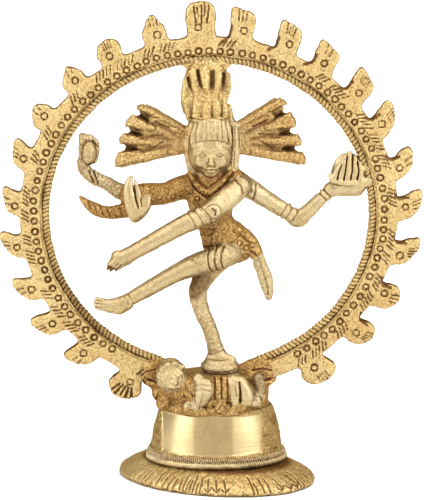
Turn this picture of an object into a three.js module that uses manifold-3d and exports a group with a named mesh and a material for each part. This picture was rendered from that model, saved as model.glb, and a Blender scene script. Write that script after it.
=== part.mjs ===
// Brass dancing figure in a ring of flames, on an oval bell-shaped pedestal.
// Millimetres, +Z up. The figure faces -Y. The origin is at the middle of the underside.
// A limb is named by the dancer's own left and right; every other left and right is the viewer's.
import * as THREE from "three";
import { mergeVertices } from "three/addons/utils/BufferGeometryUtils.js";
import Module from "manifold-3d";

// ---- Driving dimensions ----
const GAP = 0.3; // clearance left between two pieces that meet

const PEDESTAL_X = 1.2; // the pedestal stands a little to the right of the ring
const SKIRT_TURN = THREE.MathUtils.degToRad(-34); // the foot's oval runs from back left to front right
const DRUM_TURN = THREE.MathUtils.degToRad(-6);
const SKIRT = { rim: 30.4, rimThickness: 1.2, top: 21.2, height: 5.6, wall: 3.4, depth: 0.78 };
const BEAD = { radius: 20.7, bottom: 5.95, top: 8.3, wall: 3.5, depth: 0.8 };
const DRUM = { foot: 19.6, shoulder: 16.4, bottom: 8.65, top: 22.4, wall: 2.6, depth: 0.8 };
const MOUND = { radius: 16.8, bottom: 22.75, top: 31, depth: 0.74 };
const PLINTH = { x: 2.3, y: -3, radius: 5.9, bottom: 30.2, top: 35.5 };

const RING_X = -0.9;
const RING_Z = 78.6;
const RING_HALF_THICKNESS = 2.1;
const BAND_OUTER = { x: 55, z: 51.8 };
const BAND_INNER = { x: 49.5, z: 47.2 };
const ROPE_PATH = { x: 48, z: 45.7 };
const ROPE_RADIUS = 1.1;
const RING_END = 165; // degrees from the top at which each end of the ring stops, inside its makara
const RING_STEPS = 44;

const FLAME_WIDTH = 6.6;
const FLAME_HALF_THICKNESS = 1.8;
const FLAME_LEAN = THREE.MathUtils.degToRad(16); // how far a flame at the ring's side leans upward
const MAKARA_HALF_THICKNESS = 3.2;

// ---- Materials ----
const brass = (color, roughness) => new THREE.MeshStandardMaterial({ color, roughness, metalness: 1 });
const castBrass = brass(0xc59a52, 0.45);
const wornBrass = brass(0xdcb872, 0.3);
const brushedBrass = brass(0xe2c684, 0.25);
const darkBrass = brass(0x8f6330, 0.55);

// ---- Solids ----
const wasm = await Module();
wasm.setup();

// Only the positions, with shared corners merged, so that the surface is one closed sheet.
function welded(geometry) {
  geometry.deleteAttribute("normal");
  geometry.deleteAttribute("uv");
  return mergeVertices(geometry, 1e-3);
}

function solidFrom(geometry) {
  const { attributes, index } = welded(geometry);
  return new wasm.Manifold(
    new wasm.Mesh({
      numProp: 3,
      vertProperties: new Float32Array(attributes.position.array),
      triVerts: new Uint32Array(index.array),
    }),
  );
}

function geometryFrom(solid) {
  const mesh = solid.getMesh();
  const geometry = new THREE.BufferGeometry();
  geometry.setAttribute("position", new THREE.BufferAttribute(new Float32Array(mesh.vertProperties), 3));
  geometry.setIndex(new THREE.BufferAttribute(new Uint32Array(mesh.triVerts), 1));
  geometry.computeVertexNormals();
  return geometry;
}

// The largest body of a solid: a cut can leave crumbs behind.
function largest(solid) {
  return solid.decompose().reduce((a, b) => (b.volume() > a.volume() ? b : a));
}

// ---- Shapes. Each is a function of grow, which makes it that much bigger all round, to cut with. ----

// A round-ended limb along stations [x, y, z, half-width]. depth is its thickness over its width.
function limb(depth, ...stations) {
  const sides = 10;
  const steps = 10;
  const roundedEnd = 0.16; // the part of the length that each rounded end takes
  const path = new THREE.CatmullRomCurve3(stations.map(([x, y, z]) => new THREE.Vector3(x, y, z)));
  const widths = new THREE.CatmullRomCurve3(stations.map((station) => new THREE.Vector3(station[3], 0, 0)));
  return (grow = 0) => {
    const geometry = welded(new THREE.SphereGeometry(1, sides, steps));
    const position = geometry.attributes.position;
    for (let i = 0; i < position.count; i++) {
      const t = (1 - position.getY(i)) / 2;
      const fromEnd = Math.min(t, 1 - t, roundedEnd) / roundedEnd;
      const fullness = Math.sqrt(1 - (1 - fromEnd) ** 2);
      const around = Math.atan2(position.getZ(i), position.getX(i));
      const tangent = path.getTangent(t);
      const front = new THREE.Vector3(0, 1, 0).addScaledVector(tangent, -tangent.y).normalize();
      const side = new THREE.Vector3().crossVectors(front, tangent);
      const halfWidth = widths.getPoint(t).x;
      const point = path
        .getPoint(t)
        .addScaledVector(tangent, grow * (2 * t - 1))
        .addScaledVector(side, (halfWidth + grow) * fullness * Math.cos(around))
        .addScaledVector(front, (halfWidth * depth + grow) * fullness * Math.sin(around));
      position.setXYZ(i, point.x, point.y, point.z);
    }
    return geometry;
  };
}

// A flat plate in the XZ plane about y, with an outline that is drawn bigger by grow.
function plate(outline, y, half) {
  return (grow = 0) => {
    const thickness = 2 * (half + grow);
    const options = { depth: thickness, bevelEnabled: false, curveSegments: 4 };
    const slab = new THREE.ExtrudeGeometry(outline(grow), options);
    return slab.rotateX(Math.PI / 2).translate(0, y + half + grow, 0);
  };
}

// An oval turned shape about a vertical line, from a profile of [half-width, z].
// depth is its depth over its width.
function turned(profile, { x, y = 0, depth = 1, turn = 0, segments = 32 }) {
  const heights = profile.map(([, z]) => z);
  const low = Math.min(...heights);
  const high = Math.max(...heights);
  return (grow = 0) => {
    const grown = (z) => (z === low ? z - grow : z === high ? z + grow : z);
    const points = profile.map(([r, z]) => new THREE.Vector2(r > 0 ? r + grow : 0, grown(z)));
    const geometry = new THREE.LatheGeometry(points, segments);
    return geometry.rotateX(Math.PI / 2).scale(1, depth, 1).rotateZ(turn).translate(x, y, 0);
  };
}

// ---- Pedestal ----

// The flared foot: a hollow ring that widens down to a thin rim.
const skirt = turned(
  [
    [SKIRT.rim - 3.2, 0],
    [SKIRT.rim, 0],
    [SKIRT.rim, SKIRT.rimThickness],
    [SKIRT.rim - 1.6, 2.6],
    [SKIRT.rim - 4.4, 4.2],
    [SKIRT.top, SKIRT.height],
    [SKIRT.top - SKIRT.wall, SKIRT.height],
    [SKIRT.rim - 7.4, 2.4],
    [SKIRT.rim - 3.2, 0],
  ],
  { x: PEDESTAL_X, depth: SKIRT.depth, turn: SKIRT_TURN, segments: 40 },
);

// The milled half-round moulding between foot and drum.
const bead = turned(
  [
    [BEAD.radius - BEAD.wall, BEAD.bottom],
    [BEAD.radius - 0.7, BEAD.bottom],
    [BEAD.radius, BEAD.bottom + 0.7],
    [BEAD.radius, BEAD.top - 0.9],
    [BEAD.radius - 0.8, BEAD.top],
    [BEAD.radius - BEAD.wall, BEAD.top],
    [BEAD.radius - BEAD.wall, BEAD.bottom],
  ],
  { x: PEDESTAL_X, depth: BEAD.depth, turn: DRUM_TURN, segments: 40 },
);

// The bell-shaped drum: a cup upside down, open below.
const drum = turned(
  [
    [DRUM.foot - DRUM.wall, DRUM.bottom],
    [DRUM.foot, DRUM.bottom],
    [DRUM.foot - 0.7, 13],
    [DRUM.foot - 1.5, 17.5],
    [DRUM.shoulder + 0.4, 20.6],
    [DRUM.shoulder, DRUM.top],
    [0, DRUM.top],
    [0, DRUM.top - DRUM.wall],
    [DRUM.shoulder - 2.4, DRUM.top - DRUM.wall],
    [DRUM.foot - 0.9 - DRUM.wall, 15],
    [DRUM.foot - DRUM.wall, DRUM.bottom],
  ],
  { x: PEDESTAL_X, depth: DRUM.depth, turn: DRUM_TURN },
);

// The lotus-like rock that the dwarf lies on.
const mound = turned(
  [
    [0, MOUND.bottom],
    [MOUND.radius - 0.6, MOUND.bottom],
    [MOUND.radius, 24.6],
    [MOUND.radius - 1.6, 27.4],
    [MOUND.radius - 5, 29.8],
    [MOUND.radius - 9, MOUND.top],
    [0, MOUND.top],
  ],
  { x: PEDESTAL_X - 1, y: 0.5, depth: MOUND.depth, turn: DRUM_TURN },
);

// The round grooved block under the dancer's foot.
const plinth = turned(
  [
    [0, PLINTH.bottom],
    [PLINTH.radius, PLINTH.bottom],
    [PLINTH.radius, 31.4],
    [PLINTH.radius - 0.8, 32],
    [PLINTH.radius, 32.7],
    [PLINTH.radius - 0.1, 34],
    [PLINTH.radius - 1.4, PLINTH.top],
    [0, PLINTH.top],
  ],
  { x: PLINTH.x, y: PLINTH.y, depth: 0.9, segments: 20 },
);

// ---- Ring ----

// A point of an ellipse about the ring's centre, at an angle in degrees clockwise from its top.
function ringPoint(radii, degrees) {
  const angle = THREE.MathUtils.degToRad(degrees);
  return new THREE.Vector2(RING_X + radii.x * Math.sin(angle), RING_Z + radii.z * Math.cos(angle));
}

// The ring's sweep from its left end to its right end, in equal steps.
function alongRing(radii, end = RING_END) {
  const along = (i) => ringPoint(radii, end * ((2 * i) / RING_STEPS - 1));
  return Array.from({ length: RING_STEPS + 1 }, (_, i) => along(i));
}

const band = plate(
  (grow) => {
    const end = RING_END + grow;
    const outer = alongRing({ x: BAND_OUTER.x + grow, z: BAND_OUTER.z + grow }, end);
    const inner = alongRing({ x: BAND_INNER.x - grow, z: BAND_INNER.z - grow }, end);
    return new THREE.Shape([...outer, ...inner.reverse()]);
  },
  0,
  RING_HALF_THICKNESS,
);

// The round moulding along the band's inner edge.
function rope(grow = 0) {
  const path = alongRing(ROPE_PATH, RING_END + grow).map((p) => new THREE.Vector3(p.x, 0, p.y));
  const section = new THREE.Shape().absarc(0, 0, ROPE_RADIUS + grow, 0, 2 * Math.PI);
  return new THREE.ExtrudeGeometry(section, {
    steps: RING_STEPS,
    curveSegments: 3,
    bevelEnabled: false,
    extrudePath: new THREE.CatmullRomCurve3(path),
  });
}

// A makara, the sea creature whose open mouth holds an end of the ring and whose tang stands on the drum.
// side is -1 for the left one and 1 for the right one.
function makara(side) {
  const outline = (grow) => {
    const at = (x, z) => [RING_X + side * x, z];
    const shape = new THREE.Shape();
    shape.moveTo(...at(8 - grow, MOUND.bottom - grow));
    shape.lineTo(...at(16.6 + grow, MOUND.bottom - grow));
    shape.quadraticCurveTo(...at(17 + grow, 26 - grow), ...at(18.8 + grow, 28.4 - grow));
    shape.lineTo(...at(18.6 + grow, 36 + grow));
    shape.quadraticCurveTo(...at(14, 37 + grow), ...at(8 - grow, 33.4 + grow));
    shape.closePath();
    return shape;
  };
  return plate(outline, 0, MAKARA_HALF_THICKNESS);
}

// Flames, clockwise from the top: [degrees, height above the band, cut of the tip].
// A cut is [drop of the tip's left shoulder, drop of its right shoulder, how far right its peak is].
const BLUNT = [0.6, 0.6, 0];
const ROUND = [1.8, 1.8, 0];
const POINTED = [3.4, 3, 0.2];
const LEFT_HIGH = [0.8, 2.6, -1.1];
const RIGHT_HIGH = [2.6, 0.8, 1.1];
const FLAMES = [
  [-2.3, 9.8, BLUNT],
  [10, 8.6, LEFT_HIGH],
  [24.5, 7.9, LEFT_HIGH],
  [37, 7.4, LEFT_HIGH],
  [50.5, 7.6, ROUND],
  [63.5, 7.4, LEFT_HIGH],
  [77.5, 6.6, LEFT_HIGH],
  [90.5, 7, LEFT_HIGH],
  [104.5, 7, LEFT_HIGH],
  [118.5, 6.6, BLUNT],
  [131.5, 6.6, ROUND],
  [148, 7.6, ROUND],
  [-156, 7.8, ROUND],
  [-141, 6, RIGHT_HIGH],
  [-128, 6.6, RIGHT_HIGH],
  [-115.5, 5.8, RIGHT_HIGH],
  [-101.5, 5.8, RIGHT_HIGH],
  [-88, 5, RIGHT_HIGH],
  [-73.5, 5.4, RIGHT_HIGH],
  [-59, 5.6, POINTED],
  [-44.5, 6.4, POINTED],
  [-31, 6.4, ROUND],
  [-16.5, 8.4, POINTED],
];

// One flame as a mesh of its own.
// Its outline stands on the origin, which is then set on the band's outer edge.
function flame([degrees, length, [leftDrop, rightDrop, peak]], index) {
  const edge = { x: BAND_OUTER.x + GAP, z: BAND_OUTER.z + GAP };
  const angle = THREE.MathUtils.degToRad(degrees);
  const half = FLAME_WIDTH / 2;
  const lean = -Math.tan(FLAME_LEAN) * Math.sin(angle);
  const belly = 0.3; // how far the sides bulge
  const inset = 0.7; // how far each shoulder is inside its side
  const rootRise = 0.1; // lifts a straight root clear of the curved band
  const outline = () => {
    const shape = new THREE.Shape();
    const at = (x, z) => [x + lean * z, z];
    shape.moveTo(...at(-half, rootRise));
    shape.quadraticCurveTo(...at(-half - belly, length / 2), ...at(-half + inset, length - leftDrop));
    shape.quadraticCurveTo(...at(peak - half / 2, length), ...at(peak, length));
    shape.quadraticCurveTo(...at(peak + half / 2, length), ...at(half - inset, length - rightDrop));
    shape.quadraticCurveTo(...at(half + belly, length / 2), ...at(half, rootRise));
    shape.closePath();
    return shape;
  };
  const mesh = new THREE.Mesh(plate(outline, 0, FLAME_HALF_THICKNESS)(), castBrass);
  const root = ringPoint(edge, degrees);
  mesh.name = "flame_" + String(index + 1).padStart(2, "0");
  mesh.position.set(root.x, 0, root.y);
  mesh.rotation.y = Math.atan2(Math.sin(angle) / edge.x, Math.cos(angle) / edge.z);
  return mesh;
}

// ---- Dancer ----

// A fan of four swept-out locks of hair, from its root on the head to an edge of four rounded ends.
function hairFan(side, root, top, bottom) {
  const locks = 4;
  const outline = (grow) => {
    const shape = new THREE.Shape();
    shape.moveTo(root.x, root.top + grow);
    shape.lineTo(top.x, top.z + grow);
    for (let i = 0; i < locks; i++) {
      const at = (t, out) => [
        THREE.MathUtils.lerp(top.x, bottom.x, t) + side * out,
        THREE.MathUtils.lerp(top.z, bottom.z, t),
      ];
      shape.quadraticCurveTo(...at((i + 0.5) / locks, 2 + grow), ...at((i + 1) / locks, grow));
    }
    shape.lineTo(root.x, root.bottom - grow);
    shape.closePath();
    return shape;
  };
  return plate(outline, 1, 1.6);
}

// The tall piled-up hair, which broadens above the brow and reaches the ring.
const hairCrown = turned(
  [
    [0, 105.8],
    [5.6, 105.8],
    [5.3, 107.4],
    [6.5, 110.6],
    [7.2, 114],
    [6.7, 118],
    [6.2, 121],
    [6.6, 124],
    [0, 124],
  ],
  { x: -1.2, depth: 0.72, segments: 16 },
);

// ---- Assembly. Each piece is cut back from those listed before it, so later ones have the sockets. ----
const PIECES = [
  ["pedestal_skirt", castBrass, skirt],
  ["pedestal_bead", wornBrass, bead],
  ["pedestal_drum", brushedBrass, drum],
  ["aureole_band", castBrass, band],
  ["aureole_rope", darkBrass, rope],
  ["makara_left", darkBrass, makara(-1)],
  ["makara_right", darkBrass, makara(1)],
  ["foot_plinth", wornBrass, plinth],
  ["pedestal_mound", darkBrass, mound],
  [
    "dwarf_head",
    wornBrass,
    limb(1, [-12.2, -7.6, 37, 3], [-12.4, -7.8, 33, 4], [-12.5, -7.8, 30, 3.6], [-12.3, -7.4, 27.4, 2.4]),
  ],
  [
    "dwarf_body",
    darkBrass,
    limb(0.9, [-11, -7.4, 28, 3.4], [-6, -9, 28.4, 4], [0, -9.6, 28, 4.2], [6.4, -9, 27.6, 4]),
  ],
  [
    "dwarf_arm",
    wornBrass,
    limb(
      0.8,
      [-4.6, -11.6, 32, 1.6],
      [-3.2, -12.6, 28.6, 2.4],
      [-4.6, -12.4, 25.2, 2],
      [-6.8, -12, 24, 1.8],
    ),
  ],
  [
    "dwarf_thigh",
    wornBrass,
    limb(0.9, [4.8, -10.6, 30.6, 2.4], [8.4, -11, 28, 2.9], [9.6, -10.8, 25, 2.4]),
  ],
  ["dwarf_foot", wornBrass, limb(0.9, [13.8, -7.4, 31, 2], [14.4, -8, 27.6, 2.2], [12.2, -9.4, 24.4, 2])],
  [
    "torso",
    darkBrass,
    limb(
      0.74,
      [-0.6, -0.4, 91, 3],
      [-0.5, -0.4, 87, 6.8],
      [-0.4, -0.5, 83.4, 6.9],
      [0.6, -0.6, 79, 5.4],
      [2, -0.6, 75.4, 4.5],
      [3.2, -0.6, 71.4, 5],
    ),
  ],
  [
    "hips",
    darkBrass,
    limb(0.74, [2.4, -0.8, 77.4, 4.4], [4.8, -1, 71.4, 7], [5.6, -1.6, 67.6, 7.4], [3.2, -2.2, 63.4, 4.4]),
  ],
  [
    "head",
    wornBrass,
    limb(
      0.95,
      [-0.6, -1.2, 107.4, 4.4],
      [-0.6, -1.6, 102.4, 6],
      [-0.6, -1.8, 96.4, 6],
      [-0.5, -2.2, 91.4, 3.6],
      [-0.5, -2, 89.2, 2.2],
    ),
  ],
  ["hair_crown", castBrass, hairCrown],
  [
    "hair_fan_left",
    darkBrass,
    hairFan(-1, { x: -5, top: 103.4, bottom: 96.6 }, { x: -20.6, z: 110.8 }, { x: -27.4, z: 91.4 }),
  ],
  [
    "hair_fan_right",
    darkBrass,
    hairFan(1, { x: 4, top: 104.4, bottom: 97 }, { x: 20.2, z: 112.4 }, { x: 26.8, z: 92 }),
  ],
  [
    "front_right_arm",
    darkBrass,
    limb(0.9, [-4, -0.4, 87, 3.6], [-10, -1.4, 85, 3.7], [-16, -2, 84, 3.5], [-23.4, -2.2, 83.4, 3.4]),
  ],
  [
    "blessing_hand",
    wornBrass,
    limb(0.7, [-23.4, -5, 91, 1.6], [-23.2, -5.2, 86.4, 3.2], [-23, -5, 81.6, 3.8], [-22.8, -4.4, 77, 2.4]),
  ],
  [
    "rear_right_arm",
    wornBrass,
    limb(
      1,
      [-19, -0.4, 83.6, 2.6],
      [-25.6, 0.6, 84.8, 2.4],
      [-32, 1, 87.4, 2],
      [-36.6, 1, 91.6, 1.9],
      [-37.4, 1, 94, 1.9],
    ),
  ],
  ["drum_hand", wornBrass, limb(0.8, [-37.2, 0.8, 93, 2.4], [-36, 0.4, 97, 3.2], [-36.6, 0.4, 102, 2.4])],
  [
    "cobra",
    darkBrass,
    limb(
      1,
      [-22, -1.4, 81, 2.4],
      [-26.4, -1.8, 79.6, 2.1],
      [-31, -2, 79.4, 1.9],
      [-35, -2, 81.4, 1.4],
      [-38.6, -2, 84.2, 1],
    ),
  ],
  [
    "front_left_arm",
    wornBrass,
    limb(
      1,
      [7.4, -1.8, 87, 3],
      [2.6, -5.2, 83, 3.1],
      [-2.3, -7.4, 80, 2.9],
      [-8.4, -8.6, 76.5, 2.5],
      [-15.3, -9.4, 72, 2.2],
      [-22.6, -9.8, 68.3, 1.9],
      [-27, -10, 66.6, 1.8],
    ),
  ],
  [
    "front_left_hand",
    wornBrass,
    limb(0.7, [-25.4, -9.8, 67, 2.4], [-28.6, -10, 65.6, 2.6], [-32.8, -10.2, 63.2, 1.6]),
  ],
  [
    "rear_left_upper_arm",
    wornBrass,
    limb(1, [3.4, 0.6, 89.6, 3.2], [12, 1, 85, 2.9], [20, 1, 79.6, 2.4], [26, 1, 76.8, 2.3]),
  ],
  ["rear_left_forearm", wornBrass, limb(1, [24.4, 1, 77, 2.2], [29.8, 1, 81.2, 2], [35, 0.8, 86.2, 1.8])],
  [
    "fire_hand",
    wornBrass,
    limb(0.6, [34, 0.6, 85.2, 2.6], [38.4, 0.2, 88, 4.6], [40.2, 0, 93, 4.2], [40.4, 0, 99, 1.6]),
  ],
  [
    "raised_thigh",
    wornBrass,
    limb(1, [9, -2.6, 69.4, 4.2], [4, -4.6, 67.4, 4], [-1, -6.4, 66, 3.4], [-4.6, -7.4, 65.2, 3.1]),
  ],
  [
    "raised_shin",
    wornBrass,
    limb(
      1,
      [-3, -7, 65.6, 3],
      [-9, -8.2, 63.6, 2.8],
      [-15.4, -9, 60.6, 2.5],
      [-22, -9.4, 56.6, 2.1],
      [-26.6, -9.6, 54.2, 1.9],
    ),
  ],
  [
    "raised_foot",
    wornBrass,
    limb(0.9, [-25, -9.6, 53.6, 2], [-29, -9.8, 53.2, 2.4], [-34.2, -10.2, 54.8, 1.6]),
  ],
  [
    "standing_leg",
    wornBrass,
    limb(
      1,
      [3, -2, 67, 3.2],
      [-3.2, -3.6, 61, 3.1],
      [-4.2, -3.8, 56, 2.7],
      [-2.2, -3.4, 50, 2.4],
      [-0.2, -3.2, 43.6, 2.2],
      [1, -3, 38.4, 2],
    ),
  ],
  [
    "standing_foot",
    wornBrass,
    limb(1, [-0.6, -2.8, 37.2, 1.8], [2.6, -3.2, 37.2, 2], [6.6, -4.4, 36.6, 1.4]),
  ],
  [
    "sash",
    wornBrass,
    limb(
      0.7,
      [9.6, -1.8, 71, 2],
      [13.6, -2, 67, 1.9],
      [15.4, -2.2, 61.8, 1.8],
      [16.4, -2.4, 57, 1.6],
      [17, -2.4, 52.8, 1],
    ),
  ],
];

function assemble(pieces) {
  const cutters = [];
  return pieces.map(([name, material, shape]) => {
    const cut = cutters.reduce((solid, cutter) => solid.subtract(cutter), solidFrom(shape()));
    cutters.push(solidFrom(shape(GAP)));
    const mesh = new THREE.Mesh(geometryFrom(largest(cut)), material);
    mesh.name = name;
    return mesh;
  });
}

const group = new THREE.Group();
group.add(...assemble(PIECES), ...FLAMES.map(flame));

// The origin goes to the middle of the underside.
const box = new THREE.Box3().setFromObject(group);
const middle = box.getCenter(new THREE.Vector3());
group.position.set(-middle.x, -middle.y, -box.min.z);

export default group;
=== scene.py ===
# Visual model of the brass dancer in a ring of flames on an oval bell-shaped pedestal.
# Shapes are in millimetres. The dancer, the dwarf and the rock are distance fields on one shared lattice.
# The ring is a flat drawing given thickness, the rope is swept, and the pedestal is turned.
# The figure and the ring are drawn about the ring's centre, which is found from the frame.
import math

import bpy
import numpy as np
import openvdb
from mathutils import Euler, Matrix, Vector


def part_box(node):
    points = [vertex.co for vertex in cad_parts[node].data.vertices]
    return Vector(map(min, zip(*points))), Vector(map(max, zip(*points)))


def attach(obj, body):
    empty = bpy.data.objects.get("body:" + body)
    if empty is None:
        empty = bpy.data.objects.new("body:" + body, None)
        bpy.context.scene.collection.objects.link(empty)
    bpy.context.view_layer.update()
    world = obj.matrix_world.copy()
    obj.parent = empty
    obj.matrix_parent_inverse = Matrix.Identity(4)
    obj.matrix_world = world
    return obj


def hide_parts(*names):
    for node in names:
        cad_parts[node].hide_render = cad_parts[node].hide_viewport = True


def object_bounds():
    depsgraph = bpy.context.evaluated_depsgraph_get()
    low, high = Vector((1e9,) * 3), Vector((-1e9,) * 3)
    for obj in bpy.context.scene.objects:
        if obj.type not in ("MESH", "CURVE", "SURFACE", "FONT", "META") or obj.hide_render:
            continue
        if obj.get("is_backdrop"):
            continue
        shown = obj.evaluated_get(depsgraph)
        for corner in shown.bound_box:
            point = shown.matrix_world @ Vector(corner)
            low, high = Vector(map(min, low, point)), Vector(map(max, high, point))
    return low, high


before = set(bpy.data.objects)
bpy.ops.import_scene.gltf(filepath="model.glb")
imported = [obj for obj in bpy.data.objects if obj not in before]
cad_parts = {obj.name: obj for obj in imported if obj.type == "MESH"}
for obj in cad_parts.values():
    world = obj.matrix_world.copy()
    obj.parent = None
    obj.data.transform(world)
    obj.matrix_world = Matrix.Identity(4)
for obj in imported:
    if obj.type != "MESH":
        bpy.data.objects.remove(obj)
cad_low, cad_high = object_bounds()

MM = 0.001
STEP = 0.2  # lattice of the figure
RING_STEP = 0.27  # lattice of the ring
MARGIN = 2.2  # how far from its surface a shape is evaluated
FAR = 3.0  # the distance beyond which fields aren't followed
JOIN = 0.34  # softness of the join between two shapes, as in wax
OVERLAP = 0.4  # how far a piece reaches into its neighbour
OVERLAP_SLOPE = 0.08  # how fast a piece sinks under its neighbour
FORE = -20.0  # in front of everything
FRONT = -1.5  # marks that stay on the front reach back to here
FACE = -3.5  # and marks that stay on the face, back to here
BACK = (1.4, 20.0)  # marks that stay on the back
DARK_CUT, DARK_RING_CUT = 0.4, 0.22  # the depth of a cut that patina fills, on the figure and on the ring
F = np.float32


def box_mm(node):
    low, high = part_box(node)
    return np.array(low) / MM, np.array(high) / MM


# ---- Where things are ----
band_low, band_high = box_mm("aureole_band")
RING_END = math.radians(165)  # each end of the ring stops this far from its top
OUTER_X = (band_high[0] - band_low[0]) / 2
OUTER_Z = (band_high[2] - band_low[2]) / (1 - math.cos(RING_END))
HALF_THICKNESS = (band_high[1] - band_low[1]) / 2
HUB = np.array([(band_low[0] + band_high[0]) / 2, 0, band_high[2] - OUTER_Z])


# ---- Noise ----
def scrambled(ix, iy, iz, seed):
    h = ix * 73856093 ^ iy * 19349663 ^ iz * 83492791 ^ seed * 26544357
    h = (h ^ (h >> 13)) * 1274126177 & 0x7FFFFFFF
    return ((h ^ (h >> 16)) & 0xFFFF).astype(F) / 32767.5 - 1


ASLANT = np.array(Euler((0.7, 0.5, 0.9)).to_matrix())  # keeps the lumps off the axes


def grain(points, size, seed):
    """Smooth random values from -1 to 1 at points, with lumps of that size."""
    p = points @ ASLANT / size
    base = np.floor(p)
    t = (p - base).astype(F)
    t = t * t * (3 - 2 * t)
    i = base.astype(np.int64)
    total = np.zeros(len(points), F)
    for corner in np.ndindex(2, 2, 2):
        weight = np.ones(len(points), F)
        for axis, d in enumerate(corner):
            weight *= t[:, axis] if d else 1 - t[:, axis]
        total += weight * scrambled(*(i[:, axis] + d for axis, d in enumerate(corner)), seed)
    return total


def cast_skin(points, amount=1.0):
    """How far the sand-cast skin stands out from the smooth shape, in mm."""
    return amount * (
        0.09 * grain(points, 3.4, 1) + 0.1 * grain(points, 1.4, 2) + 0.07 * grain(points, 0.75, 3)
    )


def tarnish_and_shade_facing_away(normal, start=-0.6):
    """Painted shade on surfaces turned away from the front, towards the silhouette; sides and backs are also
    never polished.
    """
    return 0.5 * np.clip((normal[:, 1] - start) / 0.9, 0, 1)


# ---- Meshes ----
def normals_of(points, quads):
    a, b = points[quads[:, 2]] - points[quads[:, 0]], points[quads[:, 3]] - points[quads[:, 1]]
    face = np.cross(a, b)
    total = np.zeros_like(points)
    for axis in range(3):
        for corner in range(4):
            total[:, axis] += np.bincount(quads[:, corner], face[:, axis], len(points))
    return total / np.maximum(np.linalg.norm(total, axis=1, keepdims=True), 1e-9)


def set_attribute(mesh, name, values):
    layer = mesh.attributes.new(name, "FLOAT", "POINT")
    layer.data.foreach_set("value", values.astype(F))


def cast_piece(node, points, quads, material, slot, patina_and_shade, pits):
    """A piece in place of its CAD node, from points in mm in the row frame and four corners for each face.
    patina_and_shade is how much patina lies in the cuts and corners, with the painted shade that some callers
    add, and pits is how thickly the surface is pitted."""
    name = "cast_" + node
    mesh = bpy.data.meshes.new(name)
    mesh.vertices.add(len(points))
    mesh.vertices.foreach_set("co", (points * MM).astype(F).ravel())
    mesh.loops.add(quads.size)
    mesh.loops.foreach_set("vertex_index", quads.astype(np.int32).ravel())
    mesh.polygons.add(len(quads))
    mesh.polygons.foreach_set("loop_start", np.arange(0, quads.size, 4, dtype=np.int32))
    mesh.polygons.foreach_set("loop_total", np.full(len(quads), 4, np.int32))
    mesh.update(calc_edges=True)
    mesh.shade_smooth()
    for attribute, value in (("patina_and_shade", patina_and_shade), ("pits", pits)):
        set_attribute(mesh, attribute, np.clip(value + np.zeros(len(points)), 0, 1))
    mesh.materials.append(material)
    made = bpy.data.objects.new(name, mesh)
    bpy.context.scene.collection.objects.link(made)
    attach(made, "root")
    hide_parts(node)
    return made


# ---- Lattice ----
class Block:
    """A stretch of the shared lattice, with its coordinates in mm from the hub."""

    def __init__(self, first, shape):
        self.first, self.shape = first, tuple(shape)

    @classmethod
    def around(cls, low, high):
        first = np.floor(low / STEP).astype(int)
        return cls(first, np.ceil(high / STEP).astype(int) - first + 1)

    def part(self, window):
        return Block(self.first + [s.start for s in window], [s.stop - s.start for s in window])

    def window(self, low, high):
        """The slices of this block that cover a box, or None."""
        start = np.maximum(np.floor(np.asarray(low) / STEP).astype(int) - self.first, 0)
        stop = np.minimum(np.ceil(np.asarray(high) / STEP).astype(int) - self.first + 1, self.shape)
        if (stop <= start).any():
            return None
        return tuple(slice(a, b) for a, b in zip(start, stop))

    def coordinates(self, window):
        """x, y and z of a window, ready to broadcast."""
        x, y, z = (
            ((np.arange(s.start, s.stop) + first) * STEP).astype(F) for s, first in zip(window, self.first)
        )
        return x[:, None, None], y[None, :, None], z[None, None, :]


def evaluate(parts, block):
    """The least distance to any of the parts, each (low, high, distance), on a block."""
    field = np.full(block.shape, FAR, F)
    for low, high, distance in parts:
        window = block.window(low - MARGIN, high + MARGIN)
        if window is not None:
            field[window] = np.minimum(field[window], distance(*block.coordinates(window)))
    return field


def extent(parts):
    """The corners of the box round some parts."""
    return np.min([part[0] for part in parts], axis=0), np.max([part[1] for part in parts], axis=0)


# ---- Shapes: each is a list of parts ----
SPANS = 5  # straight stretches between two stations of a limb


def spline(stations):
    """Points of a smooth curve through the stations."""
    p = np.array(stations, float)
    p = np.vstack([2 * p[0] - p[1], p, 2 * p[-1] - p[-2]])
    made = []
    for a, b, c, d in zip(p, p[1:], p[2:], p[3:]):
        for t in np.arange(SPANS) / SPANS:
            bend = (2 * a - 5 * b + 4 * c - d) * t**2 + (3 * b - a - 3 * c + d) * t**3
            made.append(0.5 * (2 * b + (c - a) * t + bend))
    return np.array(made + [p[-2]])


def limb(*stations, depth=1.0):
    """A round-ended bar along stations (x, y, z, radius). depth is its thickness over its width."""
    path = spline(stations)

    def part(a, b):
        reach = max(a[3], b[3])
        low, high = np.minimum(a[:3], b[:3]) - reach, np.maximum(a[:3], b[:3]) + reach
        run = b[:3] - a[:3]
        run_y = run[1] / depth
        length2 = float(run[0] ** 2 + run_y**2 + run[2] ** 2) + 1e-9

        def distance(x, y, z):
            px, py, pz = x - F(a[0]), (y - F(a[1])) / F(depth), z - F(a[2])
            t = np.clip((px * F(run[0]) + py * F(run_y) + pz * F(run[2])) / F(length2), 0, 1)
            gap = (px - t * F(run[0])) ** 2 + (py - t * F(run_y)) ** 2 + (pz - t * F(run[2])) ** 2
            return np.sqrt(gap) - (F(a[3]) + t * F(b[3] - a[3]))

        return low, high, distance

    return [part(a, b) for a, b in zip(path, path[1:])]


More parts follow.
